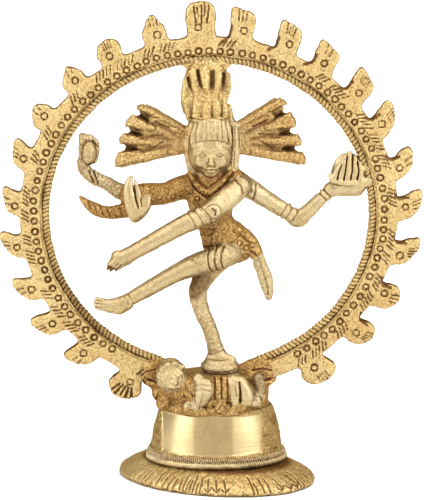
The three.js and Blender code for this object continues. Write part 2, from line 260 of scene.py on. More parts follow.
def ball(centre, radii, tilt=0.0):
    """An ellipsoid. tilt turns it in the ring's plane, in degrees clockwise."""
    c, r = np.array(centre, float), np.array(radii, float)
    cos, sin = math.cos(math.radians(tilt)), math.sin(math.radians(tilt))
    reach = np.array([max(r[0], r[2]), r[1], max(r[0], r[2])]) if tilt else r

    def distance(x, y, z):
        px, py, pz = x - F(c[0]), y - F(c[1]), z - F(c[2])
        if tilt:
            px, pz = px * F(cos) - pz * F(sin), px * F(sin) + pz * F(cos)
        scaled = np.sqrt((px / F(r[0])) ** 2 + (py / F(r[1])) ** 2 + (pz / F(r[2])) ** 2)
        slope = np.sqrt((px / F(r[0] ** 2)) ** 2 + (py / F(r[1] ** 2)) ** 2 + (pz / F(r[2] ** 2)) ** 2)
        return scaled * (scaled - 1) / (slope + F(1e-4))

    return [(c - reach, c + reach, distance)]


def rounded(across, thick, rounding):
    """Distance to a slab with rounded edges, from the distances across and through its inset core."""
    outside = np.hypot(np.maximum(across, 0), np.maximum(thick, 0))
    return outside + np.minimum(np.maximum(across, thick), 0) - F(rounding)


def disc(centre, radius, half, rounding, depth=1.0):
    """A flat round block with a rounded rim, lying level."""
    c = np.array(centre, float)
    reach = np.array([radius, radius * depth, half])

    def distance(x, y, z):
        across = np.sqrt((x - F(c[0])) ** 2 + ((y - F(c[1])) / F(depth)) ** 2) - F(radius - rounding)
        return rounded(across, np.abs(z - F(c[2])) - F(half - rounding), rounding)

    return [(c - reach, c + reach, distance)]


def plate(corners, y, half, rounding):
    """A flat plate in the ring's plane with these corners (x, z)."""
    corners = np.array(corners, float)
    low, high = np.insert(corners.min(axis=0), 1, y - half), np.insert(corners.max(axis=0), 1, y + half)

    def distance(x, yy, z):
        flat = polygon_distance(corners, x[:, 0, :], z[0]) + F(rounding)
        return rounded(flat[:, None, :], np.abs(yy - F(y)) - F(half - rounding), rounding)

    return [(low, high, distance)]


def offset_from(x, z, a, b):
    """How far x, z lies from the nearest point of the line from a to b, across and up."""
    ex, ez = b[0] - a[0], b[1] - a[1]
    px, pz = x - F(a[0]), z - F(a[1])
    t = np.clip((px * F(ex) + pz * F(ez)) / F(ex * ex + ez * ez + 1e-9), 0, 1)
    return px - t * F(ex), pz - t * F(ez)


def polygon_distance(corners, x, z):
    """Signed distance to a polygon, negative inside, at x and z, which broadcast."""
    nearest, inside = np.inf, False
    for a, b in zip(corners, np.roll(corners, -1, axis=0)):
        dx, dz = offset_from(x, z, a, b)
        nearest = np.minimum(nearest, dx**2 + dz**2)
        beside = (x - F(a[0])) * F(b[1] - a[1]) - (z - F(a[1])) * F(b[0] - a[0])
        level = (z >= F(min(a[1], b[1]))) & (z < F(max(a[1], b[1])))
        inside = inside ^ (level & ((beside < 0) == (b[1] > a[1])))
    return np.where(inside, -1, 1) * np.sqrt(nearest)


# ---- Marks: each is (low, high, y, depth cut at x, y, z) ----
# low and high are in x and z. y is how far back the mark reaches, or its two ends, or None where the piece
# says how far.
def profile(gap, width):
    return np.clip(1 - (gap / F(width)) ** 2, 0, 1)


def stroke(width, depth, *points, y=None):
    """A groove that runs straight back through the ring's plane, along points (x, z)."""
    p = np.array(points, float)

    def cut(x, yy, z):
        gap = np.inf
        for a, b in zip(p, p[1:]):
            gap = np.minimum(gap, np.hypot(*offset_from(x, z, a, b)))
        return F(depth) * profile(gap, width) + yy * 0

    return p.min(axis=0) - width, p.max(axis=0) + width, y, cut


def punch(width, depth, centre, radius, squash=1.0, y=None):
    """A punched circle, or an oval squash times as wide as it is tall."""
    angles = np.radians(np.linspace(0, 360, 17))
    circle = [(centre[0] + radius * squash * math.sin(a), centre[1] + radius * math.cos(a)) for a in angles]
    return stroke(width, depth, *circle, y=y)


def patch(depth, soft, *corners, y=None):
    """A sunk area with these corners (x, z), and a border as broad as soft."""
    corners = np.array(corners, float)

    def cut(x, yy, z):
        inside = np.clip(-polygon_distance(corners, x[:, 0, :], z[0]) / F(soft), 0, 1)
        return F(depth) * inside[:, None, :] + yy * 0

    return corners.min(axis=0), corners.max(axis=0), y, cut


def cuff(at, towards, reach, width, height):
    """A raised ring round a limb at a point, square to the direction towards a second point.
    A height below 0 is a groove."""
    a = np.array(at, float)
    direction = np.array(towards, float) - a
    direction /= np.linalg.norm(direction)

    def cut(x, y, z):
        px, py, pz = x - F(a[0]), y - F(a[1]), z - F(a[2])
        along = px * F(direction[0]) + py * F(direction[1]) + pz * F(direction[2])
        near = px**2 + py**2 + pz**2 < F(reach * reach)
        return np.where(near, -F(height) * profile(along, width), 0)

    return a[[0, 2]] - reach, a[[0, 2]] + reach, (a[1] - reach, a[1] + reach), cut


def vertical(width, depth, xs, low, high, y=None):
    return [stroke(width, depth, (x, low), (x, high), y=y) for x in xs]


def dashes(width, depth, run, *starts, y=None):
    return [stroke(width, depth, (x, z), (x + run[0], z + run[1]), y=y) for x, z in starts]


def dots(width, depth, radius, *centres, squash=1.0):
    return [punch(width, depth, centre, radius, squash) for centre in centres]


def scratches(count, low, high, length, slope, seed, depth=0.14, y=None):
    """Short chisel strokes scattered over a box (x, z), about one slope in degrees."""
    rng = np.random.default_rng(seed)
    made = []
    for _ in range(count):
        x, z = rng.uniform(low[0], high[0]), rng.uniform(low[1], high[1])
        angle = math.radians(slope) + rng.normal(0, 0.3)
        half = length * rng.uniform(0.3, 0.6)
        dx, dz = half * math.cos(angle), half * math.sin(angle)
        made.append(stroke(0.22, depth, (x - dx, z - dz), (x + dx, z + dz), y=y))
    return made


# ---- Pieces that share the lattice ----
class Piece:
    """A cast piece's distance field and the depth of its marks, on a block of the lattice.
    back_to is how far back its marks reach, rough is how lumpy its skin is, and patina lies all over it."""

    def __init__(
        self, name, finish, solids, marks=(), back_to=FRONT, soft=JOIN, rough=1.0, patina=0.0, pits=0.2
    ):
        self.name, self.finish, self.rough, self.patina, self.pits = name, finish, rough, patina, pits
        low, high = extent([part for solid in solids for part in solid])
        self.block = Block.around(low - MARGIN, high + MARGIN)
        total = np.zeros(self.block.shape, F)
        for solid in solids:
            low, high = extent(solid)
            window = self.block.window(low - MARGIN, high + MARGIN)
            total[window] += np.exp(-evaluate(solid, self.block.part(window)) / F(soft))
        self.own = -F(soft) * np.log(total + F(1e-5))
        self.cut = np.zeros(self.block.shape, F)
        for low, high, y, cut in marks:
            near, far = y if isinstance(y, tuple) else (FORE, back_to if y is None else y)
            window = self.block.window((low[0], near, low[1]), (high[0], far, high[1]))
            if window is not None:
                depth = cut(*self.block.coordinates(window))
                view = self.cut[window]
                np.copyto(view, np.where(np.abs(depth) > np.abs(view), depth, view))


PIECES = []


def add_piece(*facts, **looks):
    PIECES.append(Piece(*facts, **looks))


def overlap(a, b):
    """The windows that two blocks share, or None."""
    start = np.maximum(a.first, b.first)
    stop = np.minimum(a.first + a.shape, b.first + b.shape)
    if (stop <= start).any():
        return None
    return [tuple(map(slice, start - block.first, stop - block.first)) for block in (a, b)]


def largest_sheet(points, quads):
    """Leaves only the largest connected surface."""
    labels = np.arange(len(points))
    while True:
        least = labels[quads].min(axis=1)
        new = labels.copy()
        for corner in range(4):
            np.minimum.at(new, quads[:, corner], least)
        new = new[new]
        if (new == labels).all():
            break
        labels = new
    face_labels = labels[quads[:, 0]]
    names, counts = np.unique(face_labels, return_counts=True)
    kept = quads[face_labels == names[counts.argmax()]]
    used, flat = np.unique(kept, return_inverse=True)
    return points[used], flat.reshape(-1, 4)


def surface(field):
    """The zero surface of a field: its points in steps, its faces, and the cell that each point is in."""
    grid = openvdb.FloatGrid(background=FAR)
    grid.copyFromArray(np.ascontiguousarray(field))
    points, quads = grid.convertToQuads(isovalue=0.0)
    points, quads = largest_sheet(points.astype(float), quads.astype(np.int64))
    return points, quads, np.rint(points).astype(int)


def build_together(pieces):
    """Meshes pieces that melt into each other, each up to its own border and a little beyond."""
    for piece in pieces:
        total = np.exp(-piece.own / F(JOIN))
        nearest = np.full(piece.block.shape, FAR, F)
        their_cut = np.zeros(piece.block.shape, F)
        for other in pieces:
            shared = None if other is piece else overlap(piece.block, other.block)
            if shared is None:
                continue
            mine, theirs = shared
            distance = other.own[theirs]
            total[mine] += np.exp(-distance / F(JOIN))
            closer = distance < nearest[mine]
            nearest[mine] = np.where(closer, distance, nearest[mine])
            their_cut[mine] = np.where(closer, other.cut[theirs], their_cut[mine])
        union = -F(JOIN) * np.log(total + F(1e-9))
        beyond = (piece.own - nearest) / 2
        cut = np.where(beyond < 0, piece.cut, their_cut)
        field = union + cut + F(OVERLAP_SLOPE) * np.clip(beyond, 0, OVERLAP)
        field = np.clip(np.maximum(field, beyond - F(OVERLAP)), -FAR, FAR)
        points, quads, at = surface(field)
        index = tuple(at.T)
        crease = np.minimum(piece.own, nearest)[index] - union[index]
        points = (points + piece.block.first) * STEP + HUB
        normal = normals_of(points, quads)
        depth = np.maximum(piece.cut[index], 0)
        # Patina in cuts and creases, the piece's own patina, and painted shade where the surface turns away
        # from the front.
        patina_and_shade = depth / DARK_CUT + crease * 1.3 + piece.patina + tarnish_and_shade_facing_away(normal)
        points += normal * cast_skin(points, piece.rough)[:, None]
        cast_piece(piece.name, points, quads, *FINISHES[piece.finish], patina_and_shade, piece.pits)


# ---- Materials ----
def brass(name, clean, tarnish, patina, roughness, speckle, sanded=False):
    """Cast brass: clean metal where it is rubbed, tarnish in patches, patina in cuts and corners, and painted
    shade where ambient occlusion finds nearby surfaces.
    """
    material = bpy.data.materials.new(name)
    material.use_nodes = True
    nodes, links = material.node_tree.nodes, material.node_tree.links
    shader = nodes["Principled BSDF"]
    shader.inputs["Metallic"].default_value = 1.0
    shader.inputs["Specular Tint"].default_value = (0.62, 0.52, 0.38, 1)  # edges seen aslant are duller

    def fill(socket, value):
        """Links a socket, or sets a level or a colour."""
        if isinstance(value, bpy.types.NodeSocket):
            links.new(value, socket)
        else:
            socket.default_value = (*value, 1) if isinstance(value, tuple) else value

    def node(kind, **values):
        made = nodes.new(kind)
        for key, value in values.items():
            if key in made.inputs:
                made.inputs[key].default_value = value
            else:
                setattr(made, key, value)
        return made

    def calculated(operation, a, b):
        made = node("ShaderNodeMath", operation=operation)
        fill(made.inputs[0], a)
        fill(made.inputs[1], b)
        return made.outputs[0]

    def times(a, b):
        return calculated("MULTIPLY", a, b)

    def plus(a, b):
        return calculated("ADD", a, b)

    def greater(a, b):
        return calculated("MAXIMUM", a, b)

    def ramp(value, *stops):
        made = nodes.new("ShaderNodeValToRGB")
        for element, (place, level) in zip(made.color_ramp.elements, stops):
            element.position, element.color = place, (level, level, level, 1)
        fill(made.inputs["Fac"], value)
        return made.outputs["Color"]

    def mix(factor, a, b, kind="RGBA"):
        made = node("ShaderNodeMix", data_type=kind)
        first, output = {"RGBA": (6, 2), "FLOAT": (2, 0)}[kind]
        fill(made.inputs[0], factor)
        fill(made.inputs[first], a)
        fill(made.inputs[first + 1], b)
        return made.outputs[output]

    def attribute(name):
        return node("ShaderNodeAttribute", attribute_name=name).outputs["Fac"]

    def texture(size, detail, roughness=0.6, stretch=None):
        made = node("ShaderNodeTexNoise", Scale=1 / (size * MM), Detail=detail, Roughness=roughness)
        source = place
        if stretch:
            mapping = nodes.new("ShaderNodeMapping")
            mapping.inputs["Scale"].default_value = stretch
            links.new(place, mapping.inputs["Vector"])
            source = mapping.outputs["Vector"]
        links.new(source, made.inputs["Vector"])
        return made.outputs["Fac"]

    def brighter(factor):
        return tuple(min(1, c * factor) for c in clean)

    place = nodes.new("ShaderNodeTexCoord").outputs["Object"]
    patches, specks, fine = texture(5.0, 4), texture(0.9, 5, 0.7), texture(0.28, 3)
    grains = texture(0.5, 4, 0.72)
    uneven = calculated("SUBTRACT", specks, 0.5)
    # Painted shade: ambient occlusion darkens the colour where nearby surfaces close in.
    occlusion = node("ShaderNodeAmbientOcclusion", Distance=2.6 * MM, samples=6).outputs["AO"]
    shade = ramp(occlusion, (0.42, 1.0), (0.86, 0.0))
    pointed = nodes.new("ShaderNodeNewGeometry").outputs["Pointiness"]
    edge = ramp(pointed, (0.5, 0.0), (0.56, 1.0))
    hollow = ramp(pointed, (0.44, 1.0), (0.5, 0.0))

    # How much patina and painted shade there is: patina in cuts, corners and hollows, painted shade from
    # ambient occlusion, broken up by the specks.
    patina_and_shade_level = greater(greater(attribute("patina_and_shade"), times(shade, 0.75)), times(hollow, 0.55))
    patina_and_shade_level = ramp(plus(patina_and_shade_level, times(uneven, 0.9)), (0.12, 0.0), (0.98, 1.0))
    areas = plus(plus(times(patches, 0.6), times(texture(19.0, 2), 0.7)), times(specks, 0.4))
    tarnished = ramp(areas, (0.72, 0.0), (1.0, 1.0))

    colour = mix(times(tarnished, 0.85), clean, tarnish)
    colour = mix(times(edge, 0.5), colour, brighter(1.25))
    colour = mix(times(ramp(grains, (0.53, 0.0), (0.70, 1.0)), speckle), colour, patina)
    colour = mix(times(ramp(grains, (0.30, 1.0), (0.45, 0.0)), speckle), colour, brighter(1.3))
    pits = times(attribute("pits"), ramp(texture(0.62, 3, 0.62), (0.47, 0.0), (0.62, 1.0)))
    colour = mix(greater(patina_and_shade_level, times(pits, 0.85)), colour, patina)
    rough = plus(plus(times(patina_and_shade_level, 0.22), roughness), times(uneven, 0.22))
    height = plus(times(specks, 0.6), times(fine, 0.4))
    height = calculated("SUBTRACT", height, times(pits, 0.9))
    if sanded:
        # The belt-sanded front: fine level lines instead of the cast skin.
        facet = attribute("facet")
        lines = texture(1.0, 4, 0.7, stretch=(0.05, 0.05, 9.0))
        broad = texture(1.0, 2, 0.5, stretch=(0.02, 0.02, 2.4))
        height = mix(facet, height, plus(times(lines, 0.34), times(broad, 0.5)), "FLOAT")
        colour = mix(facet, colour, (0.53, 0.41, 0.21))
        rough = mix(facet, rough, 0.3, "FLOAT")
    bump = node("ShaderNodeBump", Strength=1.0, Distance=0.14 * MM)
    links.new(height, bump.inputs["Height"])
    links.new(colour, shader.inputs["Base Color"])
    links.new(rough, shader.inputs["Roughness"])
    links.new(bump.outputs["Normal"], shader.inputs["Normal"])
    return material


PATINA = (0.14, 0.066, 0.021)
# Each row is the finish, its material, clean metal, tarnish, patina, roughness, speckle and slot.
FINISHES = {
    finish: (brass(name, clean, tarnish, patina, roughness, speckle, sanded=finish == "brushed"), slot)
    for finish, name, clean, tarnish, patina, roughness, speckle, slot in (
        ("cast", "cast_brass", (0.66, 0.5, 0.23), (0.54, 0.36, 0.135), PATINA, 0.42, 0.62, "cast_brass"),
        ("worn", "worn_brass", (0.53, 0.43, 0.25), (0.46, 0.335, 0.15), PATINA, 0.38, 0.3, "worn_brass"),
        ("dark", "dark_brass", (0.56, 0.375, 0.14), (0.38, 0.2, 0.062), (0.14, 0.058, 0.018), 0.44, 0.5,
         "dark_brass"),
        ("fan", "toned_brass", (0.63, 0.455, 0.2), (0.46, 0.27, 0.09), (0.12, 0.048, 0.015), 0.42, 0.6,
         "dark_brass"),
        ("brushed", "brushed_brass", (0.6, 0.45, 0.2), (0.5, 0.33, 0.12), PATINA, 0.4, 0.5, "brushed_brass"),
    )
}

# ---- The dancer, in mm from the ring's centre: x to the right, y to the back, z up ----
FACE_X = 0.3  # the middle of the face
EYE_Z = 18.1
HAIR_X = 0.6  # the middle of the hair drawn up over the brow
FAN_Z = 21.4  # the height at which the locks of the two fans come together


def mirrored(make):
    return [make(-1), make(1)]


add_piece("torso", "dark", [
    limb((0.4, -0.4, 11, 4.6), (0.5, -0.4, 8, 6.4), (0.5, -0.5, 4.6, 6.9), (0.7, -0.6, 1, 5.9),
        (1.5, -0.6, -2.6, 4.8), (1.9, -0.6, -5.6, 4.5), (2.6, -0.8, -8.4, 4.7), depth=0.72),
    limb((-7.2, -0.6, 7.8, 3.1), (0.3, -0.5, 10.4, 3.3), (7.2, -0.3, 10.4, 3.1), depth=0.9),
    limb((0.3, -0.8, 9.5, 2.6), (0.3, -1, 14.5, 2.4)),
    ball((-3, -3.2, 6.2), (3, 2, 2.9)),
    ball((3.6, -3.2, 6.2), (3, 2, 2.9)),
    ball((2, -2.6, -2.8), (3.6, 2, 3.6)),
    limb((-6, -3.2, 12.6, 0.6), (-3.8, -4.6, 9.2, 0.8), (-0.7, -5.2, 7, 0.9), (2.8, -4.8, 9.2, 0.8),
        (6, -3.2, 12.8, 0.6)),
], [
    stroke(0.4, 0.34, (-6.8, 12.4), (-4.2, 8), (-0.9, 5.6), (2.9, 8), (6.8, 12.4)),
    stroke(0.34, 0.3, (-5, 13.4), (-3, 10.2), (-0.8, 8.4), (1.9, 10.2), (5.2, 13.6)),
    *dots(0.28, 0.28, 0.78, (-7.2, 9.4), (-5.6, 7.2), (-3.6, 5.2), (-7.2, 6.6)),
    *dots(0.28, 0.28, 0.42, (1.4, 6.9), (2.8, 8.1), (4.2, 9.6), (5.4, 11.2), (-4.6, 10.3), (-3.4, 8.6),
        (-2.1, 7.1), (-0.7, 6.4)),
    stroke(0.3, 0.2, (-3.4, -4.2), (1.5, -3.6), (6.6, -2.2)),
    stroke(0.3, 0.2, (-3.2, -5.9), (1.6, -5.5), (6.6, -4)),
    stroke(0.5, 0.4, (-2.6, -9.5), (1.6, -8.8), (6.8, -6.7)),
    *dots(0.28, 0.2, 0.62, (0.9, -4.6), (5.1, -5.4), (2.9, -4)),
], patina=0.3, pits=1)

add_piece("hips", "dark", [
    limb((2.6, -0.8, -2.6, 4.2), (5.2, -1.6, -6.4, 4.8), (7.2, -2.8, -9.2, 4.5), (9, -2.8, -10.3, 3.4),
        depth=0.85),
    limb((7.4, -0.8, -4.4, 2.4), (11.2, -1.2, -7.8, 2.5), (13.4, -1.7, -10.8, 2)),
    limb((2, -3.4, -7.6, 1.1), (5.4, -4.4, -6.6, 1.1), (8.6, -3.4, -4.6, 1), depth=0.8),
], [
    *dots(0.28, 0.28, 0.8, (8.6, -7.6), (10.6, -9.2), (8.3, -10.2), (12.3, -8.6), (10.4, -11.6)),
    *dashes(0.34, 0.3, (2, -1.7), (6.6, -4), (8.2, -4.6), (9.8, -6.2), (11.6, -10)),
    *dashes(0.3, 0.26, (0.5, -2.2), (6, -9.6), (7, -11.2), (11.4, -11.4)),
    stroke(0.36, 0.26, (4.4, -8.3), (7.3, -6.9), (9.6, -4.6)),
], patina=0.14, pits=0.9)

add_piece("head", "worn", [
    ball((FACE_X, -0.6, 21.4), (6.3, 5.3, 6)),
    ball((FACE_X, -1.2, 18.2), (6.4, 5.5, 6.9)),
    *mirrored(lambda side: ball((FACE_X + side * 3, -5, 16.2), (1.6, 1.4, 1.8))),
    ball((FACE_X, -4.2, 12.9), (2.2, 2.2, 1.6)),
    limb((FACE_X, -6.2, 18.9, 0.5), (FACE_X, -7, 17.2, 0.6), (FACE_X, -7.4, 15.9, 0.75)),
    *mirrored(lambda side: ball((FACE_X + side * 0.8, -6.7, 15.7), (0.6, 0.6, 0.5))),
    limb((FACE_X - 1.6, -6.1, 14.15, 0.2), (FACE_X, -6.85, 14.3, 0.42), (FACE_X + 1.6, -6.1, 14.15, 0.2)),
    limb((FACE_X - 1.2, -6.1, 13.7, 0.2), (FACE_X, -6.75, 13.45, 0.45), (FACE_X + 1.2, -6.1, 13.7, 0.2)),
    *mirrored(lambda side: ball((FACE_X + side * 2.6, -5.6, EYE_Z), (1.35, 0.95, 0.66))),
    *mirrored(lambda side: limb((FACE_X + side, -6.35, 19.3, 0.25), (FACE_X + side * 2.8, -5.95, 19.95, 0.32),
        (FACE_X + side * 4.6, -4.6, 19.3, 0.2))),
    # The hair drawn up over the brow, and the locks beside the face.
    *[
        limb((HAIR_X + x * 1.16, -6 + 0.1 * x * x, 22.9 - 0.07 * x * x, 0.66),
            (HAIR_X + x * 1.08, -6.2 + 0.1 * x * x, 25 - 0.03 * x * x, 0.8),
            (HAIR_X + x * 0.9, -5.5 + 0.1 * x * x, 27.9 - 0.045 * x * x, 0.7))
        for x in (-4.9, -3.5, -2.1, -0.7, 0.7, 2.1, 3.5, 4.9)
    ],
    limb((-4.6, -0.6, 26.8, 1.2), (-6.2, -0.2, 22, 1), (-6.3, 0, 17.5, 0.9), (-5, -0.2, 13, 1.2),
        (-3.2, -0.6, 11.4, 1.4)),
    limb((5.7, -1, 28.2, 1), (6.9, -0.8, 24, 0.9), (7, -0.8, 18, 0.9), (6.3, -0.8, 12.6, 1.1)),
    limb((7.2, -0.6, 26.6, 0.8), (7.8, -0.4, 22, 0.85), (7.9, -0.4, 16.6, 0.85), (7.4, -0.4, 12.6, 0.9)),
    limb((4.8, -0.8, 14.6, 1.5), (3.6, -0.8, 11.6, 1.5)),
    limb((-4.2, 0.2, 26, 2), (5.4, 0.2, 26, 2)),
    limb((-3.4, -0.2, 27.6, 1.8), (4.6, -0.2, 27.6, 1.8)),
], [
    *mirrored(lambda side: punch(0.24, 0.2, (FACE_X + side * 2.6, EYE_Z), 0.55, squash=2.1, y=FACE)),
    *mirrored(
        lambda side: stroke(0.24, 0.22, (FACE_X + side * 1.3, EYE_Z), (FACE_X + side * 3.9, EYE_Z), y=FACE)
    ),
    stroke(0.22, 0.24, (FACE_X - 1.6, 13.95), (FACE_X, 13.9), (FACE_X + 1.6, 13.95), y=FACE),
    *mirrored(
        lambda side: stroke(0.24, 0.16, (FACE_X + side * 1.1, 16.2), (FACE_X + side * 1.4, 15.5), y=FACE)
    ),
    *[
        stroke(0.22, 0.08, (HAIR_X + x * 1.16, 23.1 - 0.07 * x * x), (HAIR_X + x * 0.9, 27.4 - 0.045 * x * x))
        for x in (-4.2, -2.8, -1.4, 0, 1.4, 2.8, 4.2)
    ],
    stroke(0.3, 0.16, (-5.6, 21), (-2.6, 22.1), (FACE_X, 22.4), (3.2, 22.1), (6, 21)),
    stroke(0.34, 0.26, (6.4, 26), (6.7, 20), (6.1, 14.4), y=-0.2),
    stroke(0.26, 0.2, (7.2, 26), (7.3, 20), (7.1, 14), y=0.4),
    *dashes(0.22, 0.16, (0.8, 0.4), *[(6.2 + 0.1 * i, 13.4 + 1.15 * i) for i in range(10)], y=-0.5),
    # A shallow sunk band down the left side of the head, darkened like a cut as painted shade along that
    # side.
    patch(0.18, 0.8, (-5.7, 25.6), (-6.2, 17), (-4.8, 12.8), (-8, 11), (-8, 27)),
], soft=0.3, rough=0.7, patina=0.1, pits=0.3)


def leaf(*stations):
    return limb(*stations, depth=0.85)


add_piece("hair_crown", "cast", [
    limb((-0.1, 0, 28.2, 4.4), (-0.8, 0, 33, 5.9), (-0.7, 0, 38, 5.7), (-0.4, 0.1, 41.4, 4.6),
        depth=0.66),
    limb((-3.6, 0.2, 41, 2.4), (-3.8, 0.2, 44.6, 1.9), depth=0.7),
    limb((-0.4, 0.2, 41, 2.6), (-0.4, 0.2, 44.8, 2.2), depth=0.7),
    limb((2.6, 0.2, 41, 2.4), (2.8, 0.2, 44.6, 1.9), depth=0.7),
    leaf((-6.7, -0.6, 30.4, 0.9), (-7, -0.9, 34, 1.3), (-6.6, -1, 38, 1.4), (-5.2, -0.4, 42.6, 1.2)),
    leaf((-3.3, -3.1, 34.6, 0.9), (-4.6, -3.2, 38.4, 1.5), (-4.8, -2.4, 41.4, 1.5),
        (-3.8, -0.8, 43.6, 1.2)),
    leaf((-0.5, -3.6, 35.2, 0.7), (-1.3, -4, 38.8, 1.5), (-1.5, -2.9, 41.6, 1.9),
        (-1.3, -1.2, 43.6, 1.5)),
    leaf((1.8, -3.6, 35.2, 0.8), (2.4, -3.7, 38.8, 1.15), (2.7, -2.6, 41.4, 1.3), (2.6, -1, 43.6, 1.2)),
    leaf((4.3, -1.9, 34.2, 1.1), (5, -1.7, 37.4, 1.35), (4.9, -1.4, 40.6, 1.3)),
    leaf((-5.9, -1.6, 28.8, 0.9), (-6.5, -1.8, 33, 1.2)),
    leaf((-3.9, -3.1, 28.8, 1.2), (-3.9, -3.5, 31.6, 1.4), (-3.4, -3.3, 34.4, 0.8)),
    leaf((-0.9, -3.6, 28.8, 1.4), (-1, -4.1, 31, 1.5), (-0.8, -3.9, 33.6, 1)),
    leaf((2.1, -3.4, 28.8, 1.2), (2, -3.9, 31.4, 1.3), (1.6, -3.6, 34.2, 0.8)),
    leaf((4.6, -2.5, 28.2, 1), (4.4, -2.7, 31, 1.1), (3.9, -2.4, 33.8, 0.7)),
    leaf((6.3, -1, 27.6, 0.9), (5.5, -1.2, 31.6, 0.9)),
    limb((-5.7, -1.4, 28.1, 0.5), (-3.4, -3.9, 28.2, 0.6), (0.4, -4.8, 28.3, 0.7), (4, -3.9, 28.2, 0.6),
        (6.2, -1.6, 28, 0.5)),
    limb((-4.6, 0.3, 43.4, 1.5), (-8.6, 0.3, 45, 1), depth=0.8),
    limb((4, 0.3, 43.6, 1.3), (7.6, 0.3, 45.2, 0.8), depth=0.8),
], [
    patch(0.5, 0.7, (-6.9, 40.6), (-5.5, 41.4), (-4.7, 37.2), (-4.9, 35.2), (-5.9, 37)),
    patch(0.56, 0.7, (-4.3, 42.8), (-2.8, 43), (-1.8, 38.6), (-1.7, 35.8), (-2.9, 37.8)),
    patch(0.56, 0.7, (0, 42.8), (1.7, 42.6), (1.2, 38.4), (0.6, 35.4), (-0.1, 38)),
    patch(0.5, 0.7, (3.5, 42.2), (5, 41.6), (4.5, 38), (3.2, 35), (3.2, 38)),
    *[stroke(0.4, 0.1, (x + 0.3, 33.6), (x, 29.2)) for x in (-5.4, -2.4, 0.6, 3.3, 5.6)],
    stroke(0.34, 0.3, (-5.8, 28.6), (-2.5, 28.35), (2.4, 28.3), (5.8, 28.5), y=-1),
    *dashes(0.28, 0.26, (0.9, 0.5), *[(4.6, 35.4 + 0.9 * i) for i in range(8)], y=0),
    *vertical(0.5, 0.34, (-5.2, -3.4, -1.5, 0.4, 2.2, 4), 28.6, 43, y=BACK),
], rough=1.3, patina=0.05, pits=0.65)


def fan(name, side, lobes, gaps):
    """Swept-out locks of hair on a web. A lobe is the upper and the lower corner of its end, and its inner
    end. A gap between two lobes is its outer and its inner end."""
    def across(points):
        return [(side * x, z) for x, z in points]

    ends = [corner for lobe in lobes for corner in lobe[:2]]
    web = [(5, 24.6), *[(x - 1.4, z - 0.3) for x, z in ends], (5, 18.3)]
    body = [(5, 24.8), *[(6 + (x - 6) * 0.74, FAN_Z + (z - FAN_Z) * 0.78) for x, z in ends], (5, 18.3)]
    solids = [plate(across(web), 1.9, 0.7, 0.5), plate(across(body), 1.0, 1.35, 0.9)]
    for upper, lower, (x, z) in lobes:
        half = 0.28 * math.dist(upper, lower)
        tip = (0.5 * (upper[0] + lower[0]) + 0.6, 0.5 * (upper[1] + lower[1]))
        solids.append(plate(across([(x, z + half), upper, tip, lower, (x, z - half)]), 0.2, 1.6, 1.3))
    marks = []
    for outer, (x, z) in gaps:
        run = np.array([outer[0] - x, outer[1] - z])
        wide = np.array([-run[1], run[0]]) / np.linalg.norm(run) * 1.1
        inward = FAN_Z + 0.2 - z
        wedge = [(x - 1.6, z + inward * 0.1), outer + wide, outer - wide]
        marks.append(patch(0.7, 0.4, *across(wedge), y=2.4))
        fold = [(x, z), (x - 3.2, z + inward * 0.2 + 0.3), (x - 8.0, z + inward * 0.6 - 0.2)]
        marks.append(stroke(0.9, 0.3, *across(fold)))
        marks.append(stroke(0.34, 0.4, *across([(x - 2.0, z + 0.2), (x - 6.0, z + inward * 0.5 + 1.2)])))
    marks.append(patch(0.11, 4.0, *across([(4, 27), (19, 29), (20, 15), (4, 16)])))
    for x, z in ((19.0, 29.0), (21.5, 25.0), (22.5, 21.0), (21.0, 17.2)):
        marks.append(stroke(0.4, 0.3, *across([(8.0, FAN_Z + (z - FAN_Z) * 0.3), (x, z)]), y=BACK))
    add_piece(name, "fan", solids, marks, back_to=0.6, rough=1.5, pits=0.8)


fan("hair_fan_left", -1, [
    ((19.4, 32.5), (21.0, 30.9), (5.4, 24.0)), ((22.2, 29.2), (24.4, 25.8), (15.4, 24.9)),
    ((25.0, 23.9), (26.0, 20.8), (16.4, 20.9)), ((26.5, 18.4), (27.2, 13.8), (12.0, 18.2)),
], [((22.6, 30.6), (17.8, 27.0)), ((25.6, 24.9), (19.2, 22.8)), ((27.2, 19.6), (19.6, 18.6))])

fan("hair_fan_right", 1, [
    ((20.4, 34.1), (22.4, 32.2), (5.4, 24.3)), ((23.6, 29.9), (25.2, 25.6), (16.0, 25.4)),
    ((25.8, 23.4), (26.9, 19.8), (16.8, 21.2)), ((27.1, 18.0), (27.9, 14.4), (12.0, 18.4)),
], [((24.0, 31.2), (18.8, 27.4)), ((26.6, 24.5), (20.2, 23.0)), ((28.0, 18.9), (20.8, 18.8))])

add_piece("front_right_arm", "dark", [
    limb((-3.1, -0.4, 8.8, 3.6), (-9, -1.2, 7.7, 3.35), (-13, -1.8, 6.4, 3.2), (-18.5, -2.2, 6.2, 3.25),
        (-23.2, -2.2, 5.6, 2.9), depth=0.9),
], [
    *dots(0.28, 0.2, 0.75, (-16.5, 7.4), (-14.6, 5.6), (-12.4, 7.6), (-10.6, 5.6), (-17.6, 4.8)),
], patina=0.27, pits=1)

